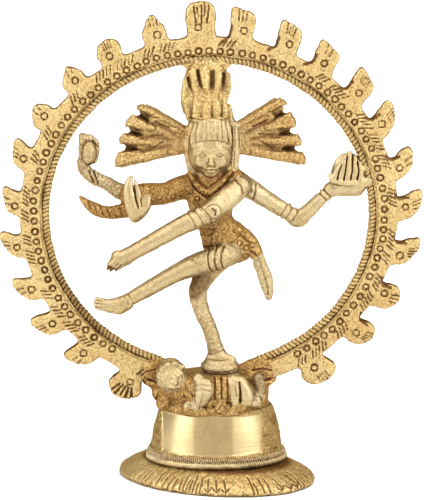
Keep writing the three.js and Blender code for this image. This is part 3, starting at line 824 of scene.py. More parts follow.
add_piece("blessing_hand", "worn", [
    limb((-22.9, -5.2, 11.4, 0.85), (-23.4, -5.4, 8.6, 1.55), (-23, -5.5, 4.6, 1.9),
        (-21.9, -5.2, 0.4, 1.6), (-21.7, -4.8, -0.6, 1.1), depth=0.75),
    limb((-21.7, -5, 10.4, 0.55), (-21, -5, 8, 0.75), (-20.7, -5, 4.6, 0.9), (-20.9, -4.8, 1.6, 1.2),
        depth=0.9),
    limb((-20.6, -4.8, 0.6, 1.5), (-18.9, -4.8, 2.4, 1.5), (-18.1, -4.8, 4.6, 1.15),
        (-18.4, -4.6, 6.4, 0.75), depth=0.9),
    ball((-21.2, -4.9, 2.2), (2.6, 1.5, 3.2), 12),
    limb((-21.6, -3.4, 5, 2.2), (-20.6, -3.4, 3.6, 2.2)),
], [
    stroke(0.26, 0.5, (-22.2, 11.2), (-21.9, 8.6), (-21.5, 5.6), (-20.7, 2.8)),
    stroke(0.26, 0.36, (-20, 5.6), (-19.7, 3.2)),
    stroke(0.2, 0.12, (-23.6, 9.6), (-23.3, 6.4)),
    stroke(0.2, 0.12, (-24.3, 7.6), (-23.6, 3.6)),
], back_to=-3.4, soft=0.3, rough=0.8)

add_piece("rear_right_arm", "worn", [
    limb((-18.1, -0.4, 5.4, 2.6), (-25.4, 0.4, 6.5, 2.35), (-29.4, 0.8, 8.9, 1.95),
        (-33.4, 1, 10.7, 1.95), (-36.1, 1, 13, 1.8), (-36.7, 1, 15.4, 1.6)),
], [
    cuff((-34, 1, 11.2), (-31, 1, 9.8), 3.2, 0.45, 0.22),
    stroke(0.3, 0.36, (-34.9, 12.9), (-33.6, 9.4)),
    stroke(0.3, 0.36, (-33.5, 12.7), (-32.3, 9.2)),
    *scratches(24, (-30, 6.5), (-25, 9.5), 1.3, 130, 71, y=0.4),
], back_to=0.6, patina=0.12, pits=0.8)

add_piece("drum_hand", "worn", [
    ball((-34.9, -0.7, 18.4), (2.35, 2.2, 3.7)),
    ball((-35, 1, 18.8), (2.7, 1.7, 4.3)),
    limb((-34.6, 0.4, 22.7, 0.8), (-32.9, 0.4, 21.2, 0.85), (-32.6, 0.4, 18.8, 0.8),
        (-33.4, 0.4, 15.8, 0.8)),
    limb((-36.9, 0.4, 14.2, 1.1), (-37.2, 0, 17.4, 0.85), (-37, 0, 20.6, 0.9), (-36.6, 0.1, 22.6, 1.1)),
    ball((-36.4, 0, 22.9), (1.3, 1.2, 0.95), 20),
], [
    punch(0.34, 0.22, (-34.9, 18.4), 3.5, squash=0.66),
    *[stroke(0.24, 0.28, (-38.4, z), (-36.9, z + 0.3), y=1) for z in (16.4, 18.3, 20.3)],
    stroke(0.26, 0.34, (-33.9, 21.9), (-32.2, 19.9)),
    stroke(0.34, 0.45, (-33.6, 15.4), (-35.9, 14.6)),
], back_to=0.6, soft=0.28, patina=0.08, pits=0.6)

add_piece("cobra", "dark", [
    limb((-21.1, -1.4, 2.4, 2.5), (-25.5, -1.7, 1.3, 2.1), (-30, -2, 0.9, 1.8), (-33.4, -2, 2.1, 1.75),
        (-35.9, -2, 4, 1.2), (-37.4, -2, 5.5, 0.55)),
], [
    *[
        stroke(0.26, 0.28, (x, z + 1.4), (x + 0.9, z - 1.2))
        for x, z in ((-35.4, 3.4), (-33.6, 2.2), (-31.6, 1.4), (-29.8, 1), (-27.9, 0.9), (-26, 1.1))
    ],
], patina=0.2, pits=0.9)

add_piece("front_left_arm", "worn", [
    limb((8.9, -1.6, 8.2, 3.2), (7.2, -3, 7, 3.4), (3.6, -5.2, 4.3, 3.35), (-1, -7.2, 1.2, 3.1),
        (-7.5, -8.6, -1.6, 2.75), (-14.4, -9.4, -5.2, 2.5), (-21.7, -9.8, -9.2, 2.25),
        (-26.1, -10, -11.4, 2.1)),
    ball((0.9, -8.6, 2.1), (2.5, 1.9, 2.3), -25),
    ball((-27, -10, -10.4), (1.4, 1.4, 1.4)),
], [
    punch(0.3, 0.18, (0.9, 2.1), 2.35, squash=1.05),
    stroke(0.4, 0.4, (0.6, 3.1), (1.5, 2.4), (1.3, 1.3)),
    cuff((-2.4, -7.6, 0.3), (2.4, -5.9, 3.4), 4.4, 0.42, 0.26),
    cuff((-4.6, -8, -0.7), (0.1, -6.8, 1.7), 4.4, 0.42, 0.26),
    cuff((-1.5, -7.4, 0.9), (3, -5.5, 3.8), 4.2, 0.34, -0.3),
    cuff((-3.5, -7.8, -0.2), (1.2, -6.3, 2.5), 4.2, 0.34, -0.3),
    cuff((-5.5, -8.2, -0.9), (-0.8, -6.9, 1.4), 4.2, 0.34, -0.26),
    stroke(0.3, 0.3, (9.8, 6.6), (9, 9.2), (7, 11), y=-1),
], back_to=-5.5, rough=0.7)

add_piece("front_left_hand", "worn", [
    limb((-24.4, -9.9, -11.2, 2), (-27.2, -10, -12.5, 1.9), (-28.6, -10.2, -13.5, 1.5), depth=0.9),
    limb((-28, -11, -12.2, 0.8), (-29.4, -11.2, -13.2, 0.75), (-29.9, -11.1, -14.4, 0.55)),
    limb((-27.4, -11.2, -13, 0.8), (-28.6, -11.4, -14.2, 0.75), (-28.9, -11.2, -15, 0.5)),
    limb((-26.4, -11, -13.2, 0.8), (-27.4, -11.2, -14.6, 0.6)),
    ball((-27.2, -10.2, -10.5), (1.1, 1.2, 1.1)),
], [
    stroke(0.26, 0.3, (-26.8, -12.4), (-28.4, -13.9), (-29.2, -15.4)),
    stroke(0.26, 0.3, (-25.6, -12.8), (-27.2, -14.2), (-27.9, -15.4)),
    patch(0.4, 0.7, (-31.5, -12.4), (-28.7, -12.7), (-26, -14.4), (-29.5, -17.4)),
], back_to=-9, soft=0.28, patina=0.12, pits=0.5)

add_piece("rear_left_upper_arm", "worn", [
    limb((4.3, 0.5, 10.8, 3.1), (8.4, 0.7, 9.2, 3.2), (13.6, 0.9, 6.1, 2.75), (20.4, 1, 1.7, 2.4),
        (25.2, 1, -1.2, 2.3), (26.4, 1, -1.9, 2.2)),
], [
    cuff((22.4, 1, 0.5), (18, 1, 3.3), 3.4, 0.4, 0.22),
    cuff((24, 1, -0.5), (19.6, 1, 2.3), 3.4, 0.34, 0.2),
    cuff((21.7, 1, 1), (17.3, 1, 3.8), 3.4, 0.28, -0.3),
    cuff((23.2, 1, 0), (18.8, 1, 2.8), 3.4, 0.28, -0.3),
    cuff((24.8, 1, -1), (20.4, 1, 1.8), 3.4, 0.28, -0.3),
    stroke(0.34, 0.34, (13.6, 8.8), (13.2, 6.2), (12.4, 3.4)),
    *[punch(0.28, 0.3, (x, z), 0.6) for x, z in ((10.2, 8.6), (11.8, 7.2), (10.6, 6.2))],
    *scratches(10, (14, 1), (21, 6), 1.5, -30, 92, depth=0.1),
], back_to=1.2)

add_piece("rear_left_forearm", "worn", [
    limb((25.2, 1, -1.9, 2.2), (27.6, 1, -0.6, 2.25), (31.2, 1, 2.7, 2), (35.8, 0.8, 7.2, 1.9)),
], [
    cuff((33.2, 0.9, 4.8), (30, 1, 1.6), 3, 0.3, -0.34),
    cuff((34.4, 0.9, 6), (31.2, 1, 2.8), 3, 0.3, -0.34),
    cuff((33.8, 0.9, 5.4), (30.6, 1, 2.2), 3, 0.34, 0.2),
], rough=0.8)


def tongue(x, z, tip_x, tip_z):
    middle = (x * 0.65 + tip_x * 0.35, -0.9, z + (tip_z - z) * 0.55, 1.2 * 0.92)
    return limb((x, -0.9, z, 1.2), middle, (tip_x, -0.4, tip_z, 1.2 * 0.5))


add_piece("fire_hand", "worn", [
    limb((35.8, 0.5, 7, 2), (39.4, 0.1, 7.5, 2.5), (42.8, 0, 7.6, 2.6), depth=0.75),
    ball((40.5, 0.3, 11.6), (4.9, 1.6, 6.2)),
    tongue(36.3, 9.6, 38, 14.2),
    tongue(38.1, 9.4, 39.5, 16.2),
    tongue(40.1, 9.4, 41, 17.8),
    tongue(42.1, 9.4, 42.5, 16.4),
    tongue(44, 9.2, 43.9, 14.8),
    limb((34.9, -1, 11.2, 0.45), (36.6, -1.9, 9.7, 0.5), (39.4, -2.2, 9, 0.55), (42.6, -1.9, 9.1, 0.5),
        (45, -1, 10.2, 0.4)),
    limb((43.6, 0, 8, 1.8), (46.6, 0, 9.6, 1.5)),
    limb((43.4, 0, 13.2, 1.3), (46.6, 0, 13.4, 1.2)),
], [
    *[
        stroke(0.3, 0.42, (x, 10.2), (x + 0.5, 12.6), (top_x, top_z))
        for x, top_x, top_z in ((37.2, 38.6, 14.6), (39.1, 40.1, 16.8), (41.1, 41.7, 17), (43, 43.1, 15.2))
    ],
    punch(0.26, 0.14, (36.6, 8), 0.62),
    *scratches(16, (38, 5.6), (44, 8.4), 0.9, 20, 101),
], back_to=0.8, soft=0.3, rough=0.8, patina=0.05)

THIGH_BAND = (0.9, -8.4), (0.1, -10.2), (0, -12.4), (0.5, -14.4), (1.3, -16.2)  # a band's bow and height
add_piece("raised_thigh", "worn", [
    limb((6.2, -3.6, -10.7, 3.7), (4.2, -4.8, -11.5, 3.75), (-0.1, -6.4, -12.5, 3.35),
        (-5.8, -7.4, -14.3, 2.85)),
], [
    *[
        stroke(0.34, 0.36, *[(x + bow, z) for bow, z in THIGH_BAND], y=-2.5)
        for x in (-0.7, 1.2, 3.1)
    ],
    stroke(0.24, 0.22, (-4.6, -11.8), (-4, -13), y=-4.5),
    *dots(0.26, 0.2, 0.55, (6, -9.8), (7.8, -11), (6.4, -12.4)),
    patch(0.13, 1.4, (4, -6), (12, -6), (12, -16), (4.6, -16)),
], rough=0.8, pits=0.35)

add_piece("raised_shin", "worn", [
    limb((-2.1, -6.8, -13, 3), (-8.1, -8.1, -15.2, 2.75), (-14.5, -9, -18.4, 2.4),
        (-21.1, -9.4, -22.1, 2.1), (-25.2, -9.6, -24.4, 2)),
], [
    stroke(0.24, 0.22, (-5.2, -11.6), (-4.4, -13)),
    cuff((-23, -9.5, -23.2), (-18, -9.2, -20.4), 3, 0.3, -0.26),
    cuff((-24.1, -9.5, -23.8), (-19.1, -9.2, -21), 3, 0.3, -0.22),
], back_to=-5.5, rough=0.7)

add_piece("raised_foot", "worn", [
    limb((-24.6, -9.6, -24.6, 2.2), (-28.2, -9.8, -25.2, 2.2), (-31, -10, -24.9, 1.7),
        (-32.7, -10.1, -24.4, 1), depth=0.85),
    ball((-26.6, -9.6, -26), (2.1, 1.7, 1.7), 20),
    *[
        limb((-31, -10.4, -24.6 + rise, 0.6), (-33, -10.5, -24.2 + rise * 1.1, 0.55))
        for rise in (-1.2, -0.4, 0.4, 1.1)
    ],
], [
    *[stroke(0.22, 0.3, (-31.4, -24.4 + rise), (-33.6, -24.1 + rise * 1.2)) for rise in (-1, 0, 0.8)],
    *scratches(10, (-32, -27), (-27, -24), 1.1, 20, 111),
], back_to=-8.6, soft=0.28)

add_piece("standing_leg", "worn", [
    limb((4.2, -2, -11.8, 3.3), (-1.2, -3.4, -17.4, 3.2), (-3.5, -3.8, -22.4, 2.65),
        (-2.3, -3.6, -28, 2.35), (0.2, -3.3, -34, 2.2), (1.9, -3, -40.2, 2.2)),
    ball((-4.2, -4.8, -21.6), (1.9, 1.8, 2.4)),
], [
    stroke(0.3, 0.3, (-1.4, -20.6), (-0.6, -22.2), (0.4, -23.8)),
    patch(0.32, 1.6, (-6.8, -16), (2.4, -15), (1.4, -19.6), (-1, -23), (-3.6, -25.4), (-7, -25)),
], back_to=-2.6, rough=1, pits=0.6)

add_piece("standing_foot", "worn", [
    limb((0.6, -3, -41.9, 1.5), (3.6, -3.6, -41.9, 1.6), (6.6, -4.2, -42.5, 1.1)),
    limb((1.9, -3, -39.4, 2.15), (2.6, -3.1, -41.4, 2.3)),
], [
    cuff((2.2, -3, -40.2), (1.6, -3, -38.4), 3.2, 0.3, -0.18),
])

add_piece("sash", "worn", [
    limb((10.5, -1.8, -7.8, 2), (13.3, -2, -10.8, 1.8), (14.7, -2.2, -14.2, 1.95),
        (16.2, -2.4, -18.4, 2.1), (17.1, -2.4, -22, 1.75), (17.4, -2.4, -24.2, 1.1), depth=0.62),
], [
    stroke(0.4, 0.3, (14.3, -13.2), (15.7, -17), (16.7, -20.6), (17.1, -23.4)),
    *dashes(0.22, 0.2, (0.7, -0.5), *[(14.6 + 0.27 * i, -14.2 - 0.85 * i) for i in range(10)]),
    *dashes(0.26, 0.24, (1.4, 0.9), (12.6, -12), (13.3, -13.4), (12, -10.6), y=FRONT),
], back_to=-1.9, pits=0.5)

# ---- The rock, the dwarf on it and the makaras, about the same centre ----
DWARF_X, DWARF_Z = -11.3, -46.4  # the middle of the dwarf's head

add_piece("pedestal_mound", "dark", [
    disc((1.1, 0.5, -53), 16.4, 3.5, 2.8, depth=0.76),
    disc((1.1, 0.2, -49.6), 12.4, 2.4, 2, depth=0.8),
    # A roll of rock that hides the pedestal's top edge, and folds along the front.
    limb(*[
        (1.2 + 15 * math.sin(a), -12 * math.cos(a), -56.4 + 0.3 * math.sin(5 * a), 1.5)
        for a in np.radians(range(-100, 101, 20))
    ]),
    limb((-12.9, -6.6, -51.4, 1.8), (-13.6, -7.6, -54.6, 2.2)),
    limb((-5.6, -10.4, -53.2, 1.7), (-6.4, -11.4, -55.6, 1.7)),
    limb((3.2, -11.6, -53.6, 1.6), (3.4, -12, -55.8, 1.5)),
    limb((6.8, -11.2, -53.8, 1.3), (8.8, -11.4, -55.6, 1.5)),
], [
    stroke(0.3, 0.26, (4.6, -53.4), (6, -54.2), (7.6, -53.4)),
    *[stroke(0.3, 0.24, (x, -54.2), (x + 2.4, -57.4)) for x in (-2.4, 0.2, 3.6)],
    *[stroke(0.3, 0.22, (x, -54.4), (x - 1.8, -57.2)) for x in (2.8, 6)],
], back_to=-6, patina=0.2, pits=1)

add_piece("foot_plinth", "worn", [
    disc((3.2, -3, -47.2), 5.4, 1.3, 1, depth=0.92),
    disc((3, -3, -44.9), 5.7, 1.25, 1.1, depth=0.92),
    disc((2.9, -3, -43.4), 4.5, 1, 0.9, depth=0.92),
], [
    stroke(0.3, 0.24, (-3.5, -46.2), (3.2, -46.5), (9.6, -46.2)),
    stroke(0.22, 0.14, (-3.5, -45.2), (3.2, -45.5), (9.6, -45.2)),
], rough=1.1, pits=0.4)


def makara(name, side):
    """The beast's head that swallows one end of the ring."""
    def at(x, *rest):
        return (side * x, *rest)

    add_piece(name, "dark", [
        limb(at(8.6, 0, -50.6, 3), at(13.2, 0, -48.8, 3.9), at(16.6, 0, -46.6, 3.4), depth=0.85),
        limb(at(9.4, 0, -53.6, 3), at(13.6, 0, -53, 3.3), depth=0.95),
        limb(at(14, 0, -50.8, 2.6), at(17.6, 0, -48.8, 2.2), depth=0.95),
        limb(at(9.6, 0, -46.6, 2), at(14.4, 0, -44.6, 2), at(18, 0, -44.4, 1.7), depth=0.95),
        ball(at(15.4, -2.4, -47.6), (1.7, 1.1, 1.5)),
        limb(at(11.4, -2.6, -50.6, 0.7), at(14.4, -3, -50, 0.7), at(18, -2.4, -49.8, 0.6)),
    ], [
        punch(0.3, 0.3, at(15.4, -47.6), 1.15, squash=1.25),
        punch(0.26, 0.3, at(15.4, -47.6), 0.4, squash=1.3),
        stroke(0.32, 0.4, at(12.6, -46.2), at(15.6, -45.6), at(18.8, -46.4)),
        stroke(0.32, 0.4, at(12.4, -49.2), at(15.4, -49.4), at(19, -48.4)),
        stroke(0.34, 0.4, at(13.4, -51), at(15.2, -53.6), at(16.2, -56)),
        *dashes(0.26, 0.24, at(1.2, 0.5), *[at(9.6 + 0.8 * i, -51.4 + 0.5 * i) for i in range(6)]),
    ], back_to=0, patina=0.16, pits=0.9)


makara("makara_left", -1)
makara("makara_right", 1)

add_piece("dwarf_head", "worn", [
    ball((DWARF_X - 0.3, -6.9, DWARF_Z + 0.2), (4.5, 4.3, 4.9), 10),
    ball((DWARF_X + 0.6, -8.3, DWARF_Z - 0.9), (3.7, 3.8, 4)),
    limb((DWARF_X + 0.9, -12, DWARF_Z + 0.2, 0.35), (DWARF_X + 1.1, -12.5, DWARF_Z - 1.3, 0.55)),
    limb((DWARF_X - 0.1, -11.7, DWARF_Z - 2.8, 0.3), (DWARF_X + 1, -12, DWARF_Z - 2.75, 0.4),
        (DWARF_X + 2.1, -11.5, DWARF_Z - 2.8, 0.3)),
    # Short curls round the brow.
    *[
        ball(
            (DWARF_X + 0.4 + 3.9 * math.sin(a), -8.6 - 1.6 * math.cos(a), DWARF_Z - 0.2 + 4.2 * math.cos(a)),
            (0.95, 0.9, 0.85),
        )
        for a in np.radians(range(-115, 41, 31))
    ],
], [
    *dots(0.24, 0.16, 0.38, *[(DWARF_X + x, DWARF_Z + 0.2) for x in (-0.6, 2.6)], squash=1.8),
    stroke(0.24, 0.2, (DWARF_X - 0.1, DWARF_Z - 2.9), (DWARF_X + 2.1, DWARF_Z - 2.9)),
    *[
        stroke(0.26, 0.12, (DWARF_X + 0.2 + 3.2 * math.sin(a), DWARF_Z + 3.4 * math.cos(a)),
            (DWARF_X - 0.2 + 4.8 * math.sin(a + 0.2), DWARF_Z + 5.2 * math.cos(a + 0.2)), y=FRONT)
        for a in np.radians(range(-110, 31, 20))
    ],
], back_to=-9.6, soft=0.34, patina=0.06, pits=0.4)

add_piece("dwarf_body", "dark", [
    limb((-10.1, -7.4, -50.6, 3.2), (-5.1, -8.8, -50, 3.7), (0.9, -9.4, -50.2, 3.8), (7.3, -9, -51, 3.8),
        depth=0.9),
    *[
        limb((x, -10.6, -46.6, 0.75), (x + 0.5, -12.4, -49.4, 0.85), (x + 0.4, -12.4, -52, 0.7))
        for x in (2, 3.9)
    ],
], [
    *dashes(0.34, 0.24, (0.9, -1.6), (-7.4, -48.6), (-6, -50.2), (-7.6, -51.6), (6, -48.4)),
    *vertical(0.34, 0.3, (1.2, 3.1, 4.9), -52.6, -46.6),
], back_to=-6, patina=0.2, pits=1)

add_piece("dwarf_arm", "worn", [
    limb((-3.6, -11.4, -46.6, 1.5), (-2.4, -12.3, -49, 2.2), (-3, -12.5, -52, 1.8),
        (-3.6, -12.3, -54.6, 1.1)),
    limb((-0.8, -12.2, -47.8, 1.2), (-0.6, -12.6, -50.4, 1.2), (-2, -12.5, -53.4, 1)),
    ball((-6.2, -11.6, -54.6), (1.7, 1.4, 1.4)),
], [
    stroke(0.28, 0.2, (-5.4, -48.4), (-2.6, -47.8), (0.4, -48.6)),
    stroke(0.28, 0.2, (-5, -49.8), (-2.6, -49.2), (0.2, -50)),
    stroke(0.28, 0.24, (-2.2, -50.6), (-2.8, -53), (-3.4, -55.4)),
    *dots(0.28, 0.2, 0.5, (-6.2, -54.4)),
], back_to=-6, pits=0.35)

add_piece("dwarf_thigh", "worn", [
    limb((6.4, -10.4, -47.6, 1.9), (6.9, -11.6, -50.4, 1.6), (7, -11.8, -53.4, 1.2)),
    limb((8.6, -10.6, -48, 2), (10.3, -11.2, -50.8, 2.1), (10.4, -11.2, -53.6, 1.7)),
], [
    stroke(0.36, 0.5, (8.3, -47.6), (8.6, -50.4), (8.5, -53.6)),
    stroke(0.26, 0.3, (7, -48.6), (7.6, -51.6)),
], back_to=-6, rough=0.8)

add_piece("dwarf_foot", "worn", [
    limb((14.1, -6.6, -47.6, 1.8), (14.5, -7.6, -51, 1.9), (13.4, -9.2, -53.8, 1.7)),
    ball((12.2, -9.8, -54.4), (2.2, 1.6, 1.3)),
], [
    stroke(0.3, 0.3, (13.4, -50.4), (14.8, -53), (15.8, -55.4)),
    stroke(0.26, 0.3, (11, -53), (11.2, -55.4)),
    patch(0.22, 1.2, (11, -44), (18, -44), (18, -53.4), (12, -51.6)),
], back_to=-6, rough=1.3, pits=0.8)

build_together(PIECES)


# ---- The ring: a flat band and its flames, drawn in its own plane and then given thickness ----
INNER_X, INNER_Z = OUTER_X - 6.3, OUTER_Z - 5.4  # the band is broader at its sides than at its top
ROUNDING = 0.75  # of the ring's edges
FILLET = 0.6  # softness of the corners between band and flames
LEAN = math.tan(math.radians(16))  # a flame at the ring's side leans upward
# The ring's own lattice, in mm from the hub.
ring_x, ring_z, ring_y = (
    (np.arange(math.floor(low / RING_STEP), math.ceil(high / RING_STEP)) * RING_STEP).astype(F)
    for low, high in ((-64, 64), (-56, 64), (-3.4, 3.4 + RING_STEP))
)
ring_x, ring_z, ring_y = ring_x[:, None], ring_z[None, :], ring_y[None, :, None]


def beyond_ellipse(x, z, across, up):
    r = np.hypot(x, z) + F(1e-6)
    return r - r / np.hypot(x / F(across), z / F(up))


def ring_spot(degrees, inset=0.0):
    """Point on the band at an angle clockwise from the top, an inset inside its outer edge."""
    a = math.radians(degrees)
    return (OUTER_X - inset) * math.sin(a), (OUTER_Z - inset) * math.cos(a)


def ring_window(low, high):
    return (
        slice(*np.searchsorted(ring_x[:, 0], (low[0], high[0]))),
        slice(*np.searchsorted(ring_z[0], (low[1], high[1]))),
    )


flat_points = np.stack(np.broadcast_arrays(ring_x, F(0), ring_z), -1).reshape(-1, 3)
wobble = grain(flat_points, 6.0, 7) * 0.16 + grain(flat_points, 2.2, 8) * 0.07
wobble = wobble.reshape(ring_x.size, ring_z.size)
nicks = (grain(flat_points, 1.3, 9) * 0.17).reshape(wobble.shape)
beyond_outer = beyond_ellipse(ring_x, ring_z, OUTER_X, OUTER_Z)
beyond_inner = beyond_ellipse(ring_x, ring_z, INNER_X, INNER_Z)
past_end = (np.abs(np.arctan2(ring_x, ring_z)) - F(RING_END)) * F(OUTER_Z)
band_flat = np.maximum(np.maximum(beyond_outer, -beyond_inner) + wobble, past_end)

# How a flame's tip was cut: fractions of its width and of its height, from left to right over the tip.
STYLES = {
    "tall": [
        (-0.5, 0.2), (-0.58, 0.62), (-0.44, 0.93), (-0.16, 1), (0.2, 1), (0.46, 0.9), (0.55, 0.6), (0.5, 0.2)
    ],
    "square": [
        (-0.48, 0.15), (-0.5, 0.6), (-0.5, 0.98), (-0.28, 1.04), (0.05, 0.97), (0.4, 0.9), (0.56, 0.76),
        (0.54, 0.4), (0.5, 0.1),
    ],
    "round": [
        (-0.5, 0.12), (-0.6, 0.5), (-0.44, 0.84), (-0.1, 1), (0.24, 0.95), (0.52, 0.66), (0.56, 0.36),
        (0.5, 0.1),
    ],
    "pointed": [
        (-0.5, 0.12), (-0.62, 0.42), (-0.36, 0.76), (-0.04, 1.02), (0.2, 0.86), (0.46, 0.46), (0.5, 0.1)
    ],
    "left": [
        (-0.5, 0.2), (-0.62, 0.6), (-0.62, 0.92), (-0.36, 1.03), (0.06, 0.94), (0.42, 0.7), (0.52, 0.42),
        (0.5, 0.1),
    ],
    "right": [
        (-0.5, 0.1), (-0.54, 0.44), (-0.4, 0.74), (-0.02, 0.95), (0.4, 1.04), (0.62, 0.88), (0.58, 0.5),
        (0.5, 0.2),
    ],
    "knob": [
        (-0.46, 0.1), (-0.66, 0.44), (-0.6, 0.8), (-0.24, 1), (0.24, 1), (0.6, 0.8), (0.66, 0.44), (0.46, 0.1)
    ],
}
# The style and the width of each flame, clockwise from the one at the top.
FLAMES = [
    ("tall", 7.8), ("square", 6.9), ("square", 6.6), ("square", 6.7), ("square", 6.9), ("left", 6.8),
    ("left", 6.6), ("left", 6.8), ("left", 7.0), ("round", 7.1), ("round", 7.1), ("knob", 7.9),
    ("knob", 7.6), ("right", 6.7), ("right", 6.6), ("right", 6.4), ("right", 6.4), ("right", 6.4),
    ("right", 6.5), ("pointed", 6.8), ("pointed", 6.6), ("round", 6.7), ("pointed", 6.6),
]


def chaikin(points):
    """Rounds an open chain of points."""
    made = [points[0]]
    for a, b in zip(points, points[1:]):
        made += [a * 0.75 + b * 0.25, a * 0.25 + b * 0.75]
    return np.array(made + [points[-1]])


class Flame:
    """A flame's outline, drawn on the place and to the height of its CAD node."""

    def __init__(self, number, style, width):
        self.number, self.name, self.width = number, f"flame_{number:02d}", width
        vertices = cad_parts[self.name].data.vertices
        points = (np.array([tuple(v.co) for v in vertices]) / MM - HUB)[:, [0, 2]]
        middle = points.mean(axis=0)
        angle = math.atan2(middle[0] / OUTER_X, middle[1] / OUTER_Z)
        self.degrees = math.degrees(angle)
        self.root = np.array(ring_spot(self.degrees))
        out = np.array([math.sin(angle) / OUTER_X, math.cos(angle) / OUTER_Z])
        self.out = out / np.linalg.norm(out)
        self.along = np.array([self.out[1], -self.out[0]])
        self.length = ((points - self.root) @ self.out).max()
        self.lean = -LEAN * math.sin(angle)
        outline = np.array([(-0.5, -0.25), *STYLES[style], (0.5, -0.25)]) * (width, self.length)
        outline[:, 0] += self.lean * np.maximum(outline[:, 1], 0)
        outline = chaikin(outline)
        corners = self.root + outline[:, :1] * self.along + outline[:, 1:] * self.out
        self.window = ring_window(corners.min(axis=0) - MARGIN, corners.max(axis=0) + MARGIN)
        wx, wz = self.window
        smooth = polygon_distance(corners, ring_x[wx], ring_z[:, wz])
        self.flat = smooth + wobble[self.window] + nicks[self.window]

    def at(self, along, out):
        """A point in the flame's own directions, as fractions of its half-width and its height."""
        height = out * self.length
        sideways = along * self.width / 2 + self.lean * max(height, 0)
        return tuple(self.root + self.along * sideways + self.out * height)


flames = [Flame(number, *facts) for number, facts in enumerate(FLAMES, 1)]

# Where everything melts together, and which flame is nearest, in the ring's plane. Owner 0 is the band.
total = np.exp(-np.minimum(band_flat, FAR) / F(FILLET))
best = np.minimum(band_flat, FAR)
owner = np.zeros(best.shape, np.int16)
second = np.full(best.shape, FAR, F)
for flame in flames:
    total[flame.window] += np.exp(-np.minimum(flame.flat, FAR) / F(FILLET))
    view_best, view_second, view_owner = best[flame.window], second[flame.window], owner[flame.window]
    closer = flame.flat < view_best
    view_second[:] = np.where(closer, view_best, np.minimum(view_second, flame.flat))
    view_owner[:] = np.where(closer, flame.number, view_owner)
    view_best[:] = np.where(closer, flame.flat, view_best)
melted = -F(FILLET) * np.log(total + F(1e-9))


def punched_row(rng):
    """Uneven circles all along the band, with dots here and there."""
    degrees = -146.0
    while degrees < 150:
        inset = 3.9 + rng.uniform(-0.2, 0.2)
        size = 0.86 + rng.uniform(-0.06, 0.06)
        yield punch(0.34, 0.46 * rng.uniform(0.65, 1.15), ring_spot(degrees, inset), size)
        if rng.random() < 0.4:
            x, z = ring_spot(degrees + 1.8, inset + rng.choice((-1.1, 1.1)))
            yield stroke(0.26, 0.24, (x, z), (x + 0.1, z))
        degrees += rng.uniform(3.3, 3.9)


def flame_marks(flame, rng):
    """A punched circle, a few strokes towards the tip, and a cluster of strokes beside the root."""
    radius = 0.98 * rng.uniform(0.9, 1.05)
    shift = rng.uniform(-0.25, 0.2)
    yield punch(0.32, 0.4 * rng.uniform(0.7, 1.1), flame.at(shift, 0.3), radius)
    strokes = int(rng.integers(2, 5))
    for i in range(strokes):
        side = -0.55 + (i + 0.5) / strokes * 1.1
        foot, tip = flame.at(side * 0.8, 0.62), flame.at(side, rng.uniform(0.86, 1.03))
        yield stroke(0.3, 0.34 * rng.uniform(0.5, 1.1), foot, tip)
    if 4 < flame.degrees < 135:
        # Painted shade: a broad shallow groove in the hollow under each flame on the right, darkened like the
        # other cuts.
        yield stroke(0.7, 0.24, flame.at(-0.85, 0.4), flame.at(-0.95, 0.08), flame.at(-1.45, -0.14))
    for side in (-1, 1):
        if rng.random() < 0.45:
            continue
        for i in range(int(rng.integers(3, 6))):
            where = flame.degrees + side * (1.3 + 1.3 * i)
            ends = ring_spot(where, 0.5), ring_spot(where - 1.2, 2.3)
            yield stroke(0.27, 0.36 * rng.uniform(0.7, 1.2), *ends)


rng = np.random.default_rng(5)
ring_marks = list(punched_row(rng))
for flame in flames:
    ring_marks += flame_marks(flame, rng)
top_flame, scallop = flames[0], flames[12]
for side in (-0.8, -0.4, 0, 0.4, 0.8):
    ring_marks.append(stroke(0.34, 0.5, scallop.at(side * 0.6, 0.5), scallop.at(side * 1.15, 0.9)))
for side in (-0.55, 0.05, 0.6):
    ring_marks.append(stroke(0.32, 0.45, top_flame.at(side * 0.7, 0.42), top_flame.at(side, 0.9)))

engraved = np.zeros(best.shape, F)
for low, high, _, cut in ring_marks:
    wx, wz = ring_window(low, high)
    engraved[wx, wz] = np.maximum(engraved[wx, wz], cut(ring_x[wx], F(0), ring_z[:, wz]))

# The band is thicker than a flame's tip, and a shallow step runs along its inner edge.
half_thickness = F(HALF_THICKNESS) - F(0.5) * np.clip(beyond_outer / F(7), 0, 1)
inner_step = F(0.5) * profile(beyond_inner - F(0.35), 0.5)


